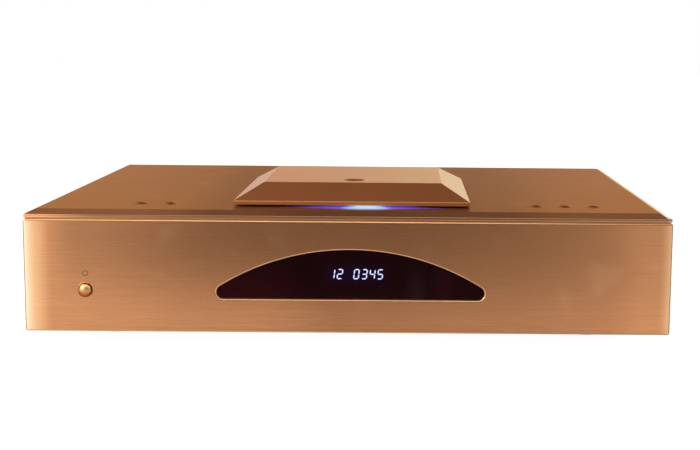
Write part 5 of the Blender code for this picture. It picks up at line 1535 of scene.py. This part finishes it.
@dataclass
class Feet:
    """Four turned feet with a grooved waist and a softer sole."""

    radius: float = 20 * MM
    neck: float = 17 * MM
    lip: float = 3.5 * MM
    edge: float = 1.0 * MM
    groove: float = 0.6 * MM

    def build(self) -> None:
        """Turns one foot and copies it to the four corners."""
        nodes = ("foot_front_left", "foot_front_right", "foot_rear_left", "foot_rear_right")
        low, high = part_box(nodes[0])
        home = (low + high) / 2
        foot = turned(f"{nodes[0]}_turned", self.profile(high.z), (home.x, home.y, 0), steps=72)
        round_edges(foot, 0.3 * MM, 2)
        feet = [foot]
        for node in nodes[1:]:
            low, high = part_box(node)
            feet.append(copy_to(foot, f"{node}_turned", (low + high) / 2 - home))
        for node, made in zip(nodes, feet):
            fit(made, RUBBER, "chassis", "rubber", node)

    def profile(self, top: float) -> list[tuple[float, float]]:
        """The foot's half outline, with a ring of sole below and a groove round its side."""
        sole = self.radius - 3 * MM
        shoulder = top - self.lip
        middle = shoulder / 2 + self.edge / 2
        return [
            (0, 0.8 * MM),
            (sole - 4 * MM, 0.8 * MM),
            (sole - 3.4 * MM, 0),
            (self.radius - self.edge, 0),
            (self.radius, self.edge),
            (self.radius, middle - self.groove),
            (self.radius - self.groove, middle),
            (self.radius, middle + self.groove),
            (self.radius, shoulder),
            (self.neck, shoulder + self.edge),
            (self.neck, top),
            (0, top),
        ]


@dataclass
class DiscBay:
    """The round well under the lid, the hub in its middle and the puck that holds the disc."""

    well_radius: float = 63 * MM
    well_wall: float = 1.5 * MM
    flange_thick: float = 1.5 * MM
    floor_thick: float = 2.0 * MM
    centre_hole: float = 8.0 * MM
    slot_half: float = 5.0 * MM
    slot_front: float = 52.0 * MM
    slot_rear: float = 93.8 * MM
    seat_rise: float = 4.0 * MM
    turntable: float = 15.0 * MM
    turntable_thick: float = 2.8 * MM
    hub_boss: float = 7.3 * MM
    spindle: float = 4.0 * MM
    puck_rim: float = 3.7 * MM
    puck_knob: float = 9.0 * MM
    puck_recess: float = 8.0 * MM
    puck_recess_deep: float = 2.8 * MM
    edge: float = 0.6 * MM

    def build(self) -> None:
        """Models the well, the hub and the puck."""
        self.build_well()
        self.build_hub()
        self.build_puck()

    def build_well(self) -> None:
        """Turns the well with a low ledge round its floor, and opens it for the pickup."""
        low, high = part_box("disc_well")
        centre = Vector(((low.x + high.x) / 2, (low.y + high.y) / 2, 0))
        floor = low.z + self.floor_thick
        outer = self.well_radius + self.well_wall
        flange = (high.x - low.x) / 2
        profile = (
            (self.centre_hole, low.z),
            (outer, low.z),
            (outer, high.z - self.flange_thick),
            (flange, high.z - self.flange_thick),
            (flange, high.z),
            (self.well_radius, high.z),
            (self.well_radius, floor + 1.2 * MM),
            (self.well_radius - 1.2 * MM, floor),
            (self.centre_hole + 12 * MM, floor),
            (self.centre_hole + 11 * MM, floor - 0.5 * MM),
            (self.centre_hole, floor - 0.5 * MM),
        )
        well = turned("disc_bay", profile, centre, steps=160)
        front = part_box("faceplate")[0].y
        slot_low = (-self.slot_half, front + self.slot_front, low.z - OVERRUN)
        slot_high = (self.slot_half, front + self.slot_rear, floor + OVERRUN)
        slot = block("lens_slot_cutter", slot_low, slot_high)
        soften(slot, self.slot_half * 0.45, (-1, -1, low.z - 3 * MM), (1, 1, floor + 3 * MM), 1)
        bpy.data.objects.remove(slot)
        slot = block("lens_slot_cutter", slot_low, slot_high)
        carve(well, slot)
        round_edges(well, 0.25 * MM, 2)
        fit(well, BLACK_PLASTIC, "chassis", "black_plastic", "disc_well")

    def build_hub(self) -> None:
        """Turns the steel hub that the disc sits on."""
        low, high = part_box("spindle_hub")
        centre = Vector(((low.x + high.x) / 2, (low.y + high.y) / 2, 0))
        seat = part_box("disc_well")[0].z + self.floor_thick + self.seat_rise
        edge = self.edge
        profile = (
            (0, low.z),
            (self.spindle, low.z),
            (self.spindle, seat - self.turntable_thick),
            (self.turntable - edge, seat - self.turntable_thick),
            (self.turntable, seat - self.turntable_thick + edge),
            (self.turntable, seat - edge / 2),
            (self.turntable - edge / 2, seat),
            (self.hub_boss + edge, seat),
            (self.hub_boss + edge / 2, seat - edge / 2),
            (self.hub_boss, seat),
            (self.hub_boss, high.z - 1.0 * MM),
            (self.hub_boss - 1.0 * MM, high.z),
            (1.4 * MM, high.z),
            (0.9 * MM, high.z - edge),
            (0, high.z - edge),
        )
        hub = turned("turntable_hub", profile, centre, steps=96)
        fit(hub, POLISHED_STEEL, "spindle", "polished_steel", "spindle_hub")

    def build_puck(self) -> None:
        """Turns the puck, with a grooved knob and a dished top."""
        low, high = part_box("disc_puck")
        centre = Vector(((low.x + high.x) / 2, (low.y + high.y) / 2, 0))
        radius = (high.x - low.x) / 2
        edge = self.edge
        rim = low.z + self.puck_rim
        profile = [
            (0, low.z + self.puck_recess_deep),
            (self.puck_recess, low.z + self.puck_recess_deep),
            (self.puck_recess, low.z),
            (radius - edge, low.z),
            (radius, low.z + edge),
            (radius, rim - edge * 1.5),
            (radius - edge * 1.5, rim),
            (self.puck_knob + edge * 2, rim + edge),
            (self.puck_knob, rim + edge * 3),
        ]
        grooves = 3
        pitch = (high.z - rim - edge * 6) / grooves
        for number in range(grooves):
            at = rim + edge * 3.5 + number * pitch
            profile += [
                (self.puck_knob, at),
                (self.puck_knob - 0.4 * MM, at + pitch * 0.25),
                (self.puck_knob, at + pitch * 0.5),
            ]
        profile += [
            (self.puck_knob, high.z - edge * 1.5),
            (self.puck_knob - edge * 1.5, high.z),
            (self.puck_knob - edge * 4, high.z),
            (self.puck_knob - edge * 6, high.z - edge),
            (0, high.z - edge * 1.3),
        ]
        puck = turned("puck_knob", profile, centre, steps=96)
        fit(puck, BLACK_PLASTIC, "puck", "black_plastic", "disc_puck")


@dataclass
class RearSockets:
    """The gold sockets with their insulators, the mains inlet and the screws of the rear panel."""

    shank: float = 4.5 * MM
    flange: float = 7.0 * MM
    flange_thick: float = 2.0 * MM
    nut_thick: float = 3.0 * MM
    tail: float = 6.0 * MM
    barrel: float = 4.15 * MM
    mouth: float = 3.3 * MM
    bore: float = 1.7 * MM
    bore_deep: float = 8.0 * MM
    inlet_wall: float = 2.0 * MM
    inlet_width: float = 27.5 * MM
    inlet_height: float = 20.0 * MM
    inlet_flange_thick: float = 3.0 * MM
    inlet_floor: float = 2.5 * MM
    pin: Point = (2.0 * MM, 13.0 * MM, 4.0 * MM)
    pin_pitch: float = 7.0 * MM
    earth_rise: float = 3.0 * MM

    def build(self) -> None:
        """Models the sockets, the inlet and the screws."""
        for node, finish in (
            ("rca_jack_left", WHITE_PLASTIC),
            ("rca_jack_right", RED_PLASTIC),
            ("digital_jack", BLACK_PLASTIC),
        ):
            self.build_socket(node, finish)
        self.build_inlet()
        self.build_screws()

    def build_socket(self, node: str, finish: Finish) -> None:
        """Turns one socket and the coloured insulator in its mouth.

        Args:
            node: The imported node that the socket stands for.
            finish: The insulator's finish.
        """
        low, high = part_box(node)
        centre = Vector(((low.x + high.x) / 2, 0, (low.z + high.z) / 2))
        wall_in, wall_out = (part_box("rear_panel")[at].y for at in (0, 1))
        nut = wall_in - SEAT
        rear = wall_out + SEAT
        step = 0.4 * MM
        profile = (
            (0, low.y),
            (self.shank, low.y),
            (self.shank, nut - self.nut_thick),
            (self.flange, nut - self.nut_thick),
            (self.flange, nut),
            (self.shank, nut),
            (self.shank, rear),
            (self.flange, rear),
            (self.flange, rear + self.flange_thick - step),
            (self.flange - step, rear + self.flange_thick),
            (self.barrel + step, rear + self.flange_thick),
            (self.barrel, rear + self.flange_thick + step),
            (self.barrel, high.y - step),
            (self.barrel - step, high.y),
            (self.mouth + step / 2, high.y),
            (self.mouth, high.y - step / 2),
            (self.mouth, high.y - self.bore_deep),
            (0, high.y - self.bore_deep),
        )
        socket = turned(f"{node}_barrel", profile, centre, Along.Y, 64)
        fit(socket, GOLD, "chassis", "gold", node)
        inner = self.mouth - 0.05 * MM
        end = high.y - 0.5 * MM
        floor = high.y - self.bore_deep + 0.1 * MM
        profile = (
            (self.bore, floor),
            (inner, floor),
            (inner, end - step),
            (inner - step, end),
            (self.bore + step / 2, end),
            (self.bore, end - step / 2),
        )
        insulator = turned(f"{node}_insulator", profile, centre, Along.Y, 48)
        fit(insulator, finish, "chassis", "white_plastic" if finish is WHITE_PLASTIC else "black_plastic")

    def build_inlet(self) -> None:
        """Models the mains inlet's moulding, its three pins and its two screws."""
        low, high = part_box("iec_inlet")
        middle = (low + high) / 2
        rear = high.y - self.inlet_flange_thick
        flange = block("mains_inlet_moulding", (low.x, rear, low.z), high)
        corner = 3.5 * MM
        for x in (low.x, high.x):
            soften(flange, corner, (x - HAIR, rear - HAIR, low.z - HAIR), (x + HAIR, high.y + HAIR, low.z + HAIR), 6)
            soften(flange, corner, (x - HAIR, rear - HAIR, high.z - HAIR), (x + HAIR, high.y + HAIR, high.z + HAIR), 6)
        half_wide, half_high = self.inlet_width / 2, self.inlet_height / 2
        body_low = (middle.x - half_wide, low.y, middle.z - half_high)
        body_high = (middle.x + half_wide, rear + BITE, middle.z + half_high)
        carve(flange, block("inlet_body", body_low, body_high), operation="UNION")
        wall = self.inlet_wall
        floor = low.y + self.inlet_floor
        cavity = block(
            "inlet_cavity",
            (body_low[0] + wall, floor, body_low[2] + wall),
            (body_high[0] - wall, high.y + OVERRUN, body_high[2] - wall),
        )
        carve(flange, cavity)
        round_edges(flange, 0.35 * MM, 3)
        fit(flange, BLACK_PLASTIC, "chassis", "black_plastic", "iec_inlet")
        pins = []
        wide, long, tall = self.pin
        for side, rise in ((-1, 0), (0, self.earth_rise), (1, 0)):
            x, z = middle.x + side * self.pin_pitch, middle.z + rise
            pin = block(
                "inlet_pin", (x - wide / 2, floor + SEAT / 3, z - tall / 2), (x + wide / 2, floor + long, z + tall / 2)
            )
            round_edges(pin, 0.4 * MM, 3)
            pins.append(pin)
        fit(join("mains_inlet_pins", pins), POLISHED_STEEL, "chassis", "polished_steel")
        screw = self.turn_screw("mains_inlet_screw_left", (low.x + 5.5 * MM, high.y, middle.z), 2.6 * MM)
        other = copy_to(screw, "mains_inlet_screw_right", (high.x - low.x - 11 * MM, 0, 0))
        for each in (screw, other):
            fit(each, POLISHED_STEEL, "chassis", "polished_steel")

    def turn_screw(self, name: str, head: Point, radius: float) -> Piece:
        """Turns a low domed screw head facing the rear and cuts a cross in it.

        Args:
            name: The piece's name.
            head: The middle of the face that it sits on.
            radius: The head's radius.

        Returns:
            The new piece.
        """
        tall = radius * 0.55
        dome = [(radius * math.sin(angle), tall * math.cos(angle)) for angle in curve_points(0, math.pi / 2, 8)]
        profile = [*dome[:-1], (radius, tall * 0.15), (radius, HAIR), (0, HAIR)]
        screw = turned(name, profile, head, Along.Y, 40)
        arm, half = radius * 0.55, radius * 0.11
        for wide, high in ((arm, half), (half, arm)):
            low = (head[0] - wide, head[1] + tall * 0.45, head[2] - high)
            top = (head[0] + wide, head[1] + tall * 2, head[2] + high)
            carve(screw, block("cross_cutter", low, top))
        return screw

    def build_screws(self) -> None:
        """Turns one screw for the rear panel and copies it along its edges."""
        low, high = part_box("rear_panel")
        inset = 6.5 * MM
        xs = (low.x + inset, low.x / 3, high.x / 3, high.x - inset)
        places = [(x, high.y, z) for z in (low.z + inset, high.z - inset) for x in xs]
        first = self.turn_screw("rear_screw_1", places[0], 3.0 * MM)
        screws = [first]
        for number, place in enumerate(places[1:], 2):
            screws.append(copy_to(first, f"rear_screw_{number}", Vector(place) - Vector(places[0])))
        for screw in screws:
            fit(screw, POLISHED_STEEL, "chassis", "polished_steel")


@dataclass
class Insides:
    """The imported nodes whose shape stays, each in its own finish."""

    finishes: dict[str, Finish] = field(
        default_factory=lambda: {
            "base_tray": ZINC,
            "rear_panel": BLACK_PAINT,
            "well_light": BAR_LIGHT,
            "display_board": BOARD,
            "power_switch": BLACK_PLASTIC,
            "key_board_left": BOARD,
            "key_board_right": BOARD,
            "lid_runner_left": BLACK_PLASTIC,
            "lid_runner_right": BLACK_PLASTIC,
            "lid_rail_left": ZINC,
            "lid_rail_right": ZINC,
            "spindle_motor": ZINC,
            "pickup_sled": BLACK_PLASTIC,
            "pickup_lens": OPTIC,
            "guide_rod_left": POLISHED_STEEL,
            "guide_rod_right": POLISHED_STEEL,
            "feed_motor": ZINC,
            "feed_pinion": WHITE_PLASTIC,
            "feed_gear": WHITE_PLASTIC,
            "gear_pin": POLISHED_STEEL,
            "transport_base": ZINC,
            "isolator_1": RUBBER,
            "isolator_2": RUBBER,
            "isolator_3": RUBBER,
            "isolator_4": RUBBER,
            "transformer": WINDING,
            "transformer_clamp": ZINC,
            "main_board": BOARD,
            "servo_board": BOARD,
            "filter_capacitor_1": SLEEVE,
            "filter_capacitor_2": SLEEVE,
        }
    )

    def dress(self) -> None:
        """Gives each node its finish."""
        for node, finish in self.finishes.items():
            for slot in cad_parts[node].material_slots:
                slot.material = finish.material()
            log.info("%s: kept, in %s", node, finish.name)


@dataclass
class Glow:
    """A soft patch of sky, by its bearing from straight ahead or straight behind, in degrees."""

    bearing: tuple[float, float]
    height: tuple[float, float]
    level: float
    soft: float = 10.0
    behind: bool = False

    def mask(self, wiring: Wiring, bearings: Sequence[Socket], height: Socket) -> Socket:
        """How strongly the patch shows in a direction."""
        return wiring.calc(
            "MULTIPLY",
            wiring.calc(
                "MULTIPLY",
                self.between(wiring, bearings[self.behind], self.bearing),
                self.between(wiring, height, self.height),
            ),
            self.level,
        )

    def between(self, wiring: Wiring, value: Socket, ends: tuple[float, float]) -> Socket:
        """One between two ends, with soft edges outside them."""
        rise = wiring.span(value, ends[0] - self.soft, ends[0] + self.soft / 2)
        fall = wiring.span(value, ends[1] - self.soft / 2, ends[1] + self.soft, 1.0, 0.0)
        return wiring.calc("MULTIPLY", rise, fall)


@dataclass
class Studio:
    """A pale floor that glows a little, a soft sky, two soft lamps and the camera."""

    camera_place: Point = (0.03706, -0.95635, 0.20749)
    yaw: float = 0.01274
    pitch: float = 0.12966
    roll: float = 0.01028
    focal: float = 62.81
    shift: Point = (-0.10105, -0.04265)
    floor_half: float = 6.0
    floor_light: float = 0.93
    near_edge: tuple[float, float] = (-0.42, -0.20)
    ahead_edge: tuple[float, float] = (-0.17, -0.26)
    painted_contact_shadow: tuple[float, float] = (0.172, 0.205)
    left_pool: tuple[float, float, float] = (-0.15, -0.32, 1.2)
    right_pool: tuple[float, float, float] = (0.17, 0.34, 0.95)
    beside: tuple[float, float, float] = (0.12, 0.25, 1.60)
    ahead: float = 0.98
    far_light: float = 0.04
    ambient: float = 0.06
    glows: Sequence[Glow] = (
        Glow((-46, 46), (50, 76), 1.90, 8),
        Glow((-60, -17), (0, 50), 0.48, 10),
        Glow((14, 60), (0, 50), 0.30, 9),
        Glow((-150, -50), (10, 60), 0.58, 14),
        Glow((50, 150), (10, 60), 0.17, 14),
        Glow((-60, 60), (6, 30), 0.50, 10, True),
        Glow((-70, -11), (2, 32), 0.33, 6, True),
        Glow((8, 70), (8, 32), 0.40, 6, True),
        Glow((4, 60), (-8, 7), 1.9, 5, True),
        Glow((-60, 2), (-8, 7), 1.5, 5, True),
    )

    def build(self) -> None:
        """Sets up the floor, the sky, the lamps and the camera."""
        self.lay_floor()
        self.light_sky()
        self.hang_lamp("key_lamp", (-1.20, -1.15, 0.82), 0.55, 13.0)
        self.hang_lamp("fill_lamp", (1.5, -0.9, 1.3), 0.9, 3.0)
        self.aim_camera()
        bpy.context.scene.view_settings.view_transform = "Standard"
        bpy.context.scene.view_settings.look = "None"

    def lay_floor(self) -> None:
        """A wide pale floor, lit from within as a light table is.

        The camera sees it evenly pale. The player mirrors it as it would be lit in a room: bright
        close by and at the sides, darker straight ahead, and with a painted contact shadow round the player.
        """
        lay_down()
        bpy.ops.mesh.primitive_plane_add(size=2 * self.floor_half, location=(0, 0, 0))
        floor = settle("floor")
        made = bpy.data.materials.new("pale_floor")
        made.use_nodes = True
        shader = made.node_tree.nodes["Principled BSDF"]
        wiring = Wiring(made.node_tree)
        x, y, z = wiring.split(wiring.place())
        near = wiring.span(y, *self.near_edge, self.far_light, self.ahead)
        pools = wiring.calc("MULTIPLY", wiring.span(x, *self.left_pool[:2]), self.left_pool[2])
        right = wiring.calc("MULTIPLY", wiring.span(x, *self.right_pool[:2]), self.right_pool[2])
        ahead = wiring.span(y, *self.ahead_edge)
        pools = wiring.calc("MULTIPLY", wiring.calc("ADD", pools, right), ahead)
        beside = wiring.span(wiring.calc("ABSOLUTE", x), *self.beside[:2], 1.0, self.beside[2])
        level = wiring.calc("MAXIMUM", wiring.calc("MULTIPLY", near, beside), pools)
        # Painted shadow: the floor gives less light under the player and just in front of and behind it, for all but
        # the camera's own rays.
        under = wiring.span(wiring.calc("ABSOLUTE", y), *self.painted_contact_shadow, 0.40, 1.0)
        level = wiring.calc("MULTIPLY", level, under)
        look = wiring.add("ShaderNodeLightPath").outputs["Is Camera Ray"]
        shown = wiring.calc("MAXIMUM", level, look)
        light = wiring.blend(shown, (0.0, 0.0, 0.0), (1.0, 1.0, 1.0))
        wiring.tree.links.new(light, shader.inputs["Emission Color"])
        shader.inputs["Base Color"].default_value = (0.25, 0.25, 0.25, 1)
        shader.inputs["Roughness"].default_value = 0.8
        shader.inputs["Emission Strength"].default_value = self.floor_light
        floor.data.materials.append(made)

    def light_sky(self) -> None:
        """A sky that the camera sees white and the player mirrors as soft patches of light."""
        world = bpy.data.worlds.new("soft_sky")
        world.use_nodes = True
        bpy.context.scene.world = world
        wiring = Wiring(world.node_tree)
        direction = wiring.add("ShaderNodeTexCoord").outputs["Generated"]
        x, y, z = wiring.split(direction)
        degree = 180 / math.pi
        ahead = wiring.calc("ARCTAN2", x, wiring.calc("MULTIPLY", y, -1.0))
        bearings = [wiring.calc("MULTIPLY", turn, degree) for turn in (ahead, wiring.calc("ARCTAN2", x, y))]
        height = wiring.calc("MULTIPLY", wiring.calc("ARCSINE", z), degree)
        level: float | Socket = self.ambient
        for glow in self.glows:
            level = wiring.calc("ADD", level, glow.mask(wiring, bearings, height))
        warm = wiring.blend(wiring.span(z, 0.1, 0.9), (1.0, 0.96, 0.90), (1.0, 0.88, 0.76))
        unseen = wiring.add("ShaderNodeBackground", {0: warm, 1: level}).outputs[0]
        seen = wiring.add("ShaderNodeBackground", {0: (1.0, 1.0, 1.0), 1: 1.0}).outputs[0]
        look = wiring.add("ShaderNodeLightPath").outputs["Is Camera Ray"]
        mixed = wiring.add("ShaderNodeMixShader", {0: look, 1: unseen, 2: seen}).outputs[0]
        output = next(node for node in world.node_tree.nodes if node.type == "OUTPUT_WORLD")
        world.node_tree.links.new(mixed, output.inputs[0])

    def hang_lamp(self, name: str, place: Point, size: float, power: float) -> None:
        """Hangs a square soft lamp that faces the player.

        Args:
            name: The lamp's name.
            place: Where it hangs.
            size: Its side.
            power: Its power in watts.
        """
        lay_down()
        bpy.ops.object.light_add(type="AREA", location=place)
        lamp = bpy.context.active_object
        lamp.name = lamp.data.name = name
        lamp.data.size = size
        lamp.data.energy = power
        lamp.data.color = (1.0, 0.95, 0.88)
        lamp.rotation_euler = (Vector((0, 0, 0.05)) - Vector(place)).to_track_quat("-Z", "Y").to_euler()

    def aim_camera(self) -> None:
        """Puts the camera at the photo's place, turned and shifted as the photo is."""
        forward = Vector(
            (
                math.sin(self.yaw) * math.cos(self.pitch),
                math.cos(self.yaw) * math.cos(self.pitch),
                -math.sin(self.pitch),
            )
        )
        level = Vector((math.cos(self.yaw), -math.sin(self.yaw), 0))
        upright = level.cross(forward)
        right = math.cos(self.roll) * level + math.sin(self.roll) * upright
        up = math.cos(self.roll) * upright - math.sin(self.roll) * level
        lay_down()
        bpy.ops.object.camera_add(location=self.camera_place)
        camera = bpy.context.active_object
        camera.name = camera.data.name = "camera"
        turn = Matrix((right, up, -forward)).transposed()
        camera.rotation_euler = turn.to_euler()
        camera.data.lens = self.focal
        camera.data.shift_x, camera.data.shift_y = self.shift
        camera.data.clip_start, camera.data.clip_end = 0.01, 50.0
        bpy.context.scene.camera = camera


def main() -> None:
    """Builds and dresses the player, then sets the stage."""
    logging.basicConfig(level=logging.INFO, format="%(message)s")
    for part in (
        Faceplate(),
        DisplayWindow(),
        PowerButton(),
        Keys(),
        TopPlate(),
        Lid(),
        SidePanels(),
        Feet(),
        DiscBay(),
        RearSockets(),
        Studio(),
    ):
        part.build()
    Insides().dress()


if __name__ == "__main__":
    main()
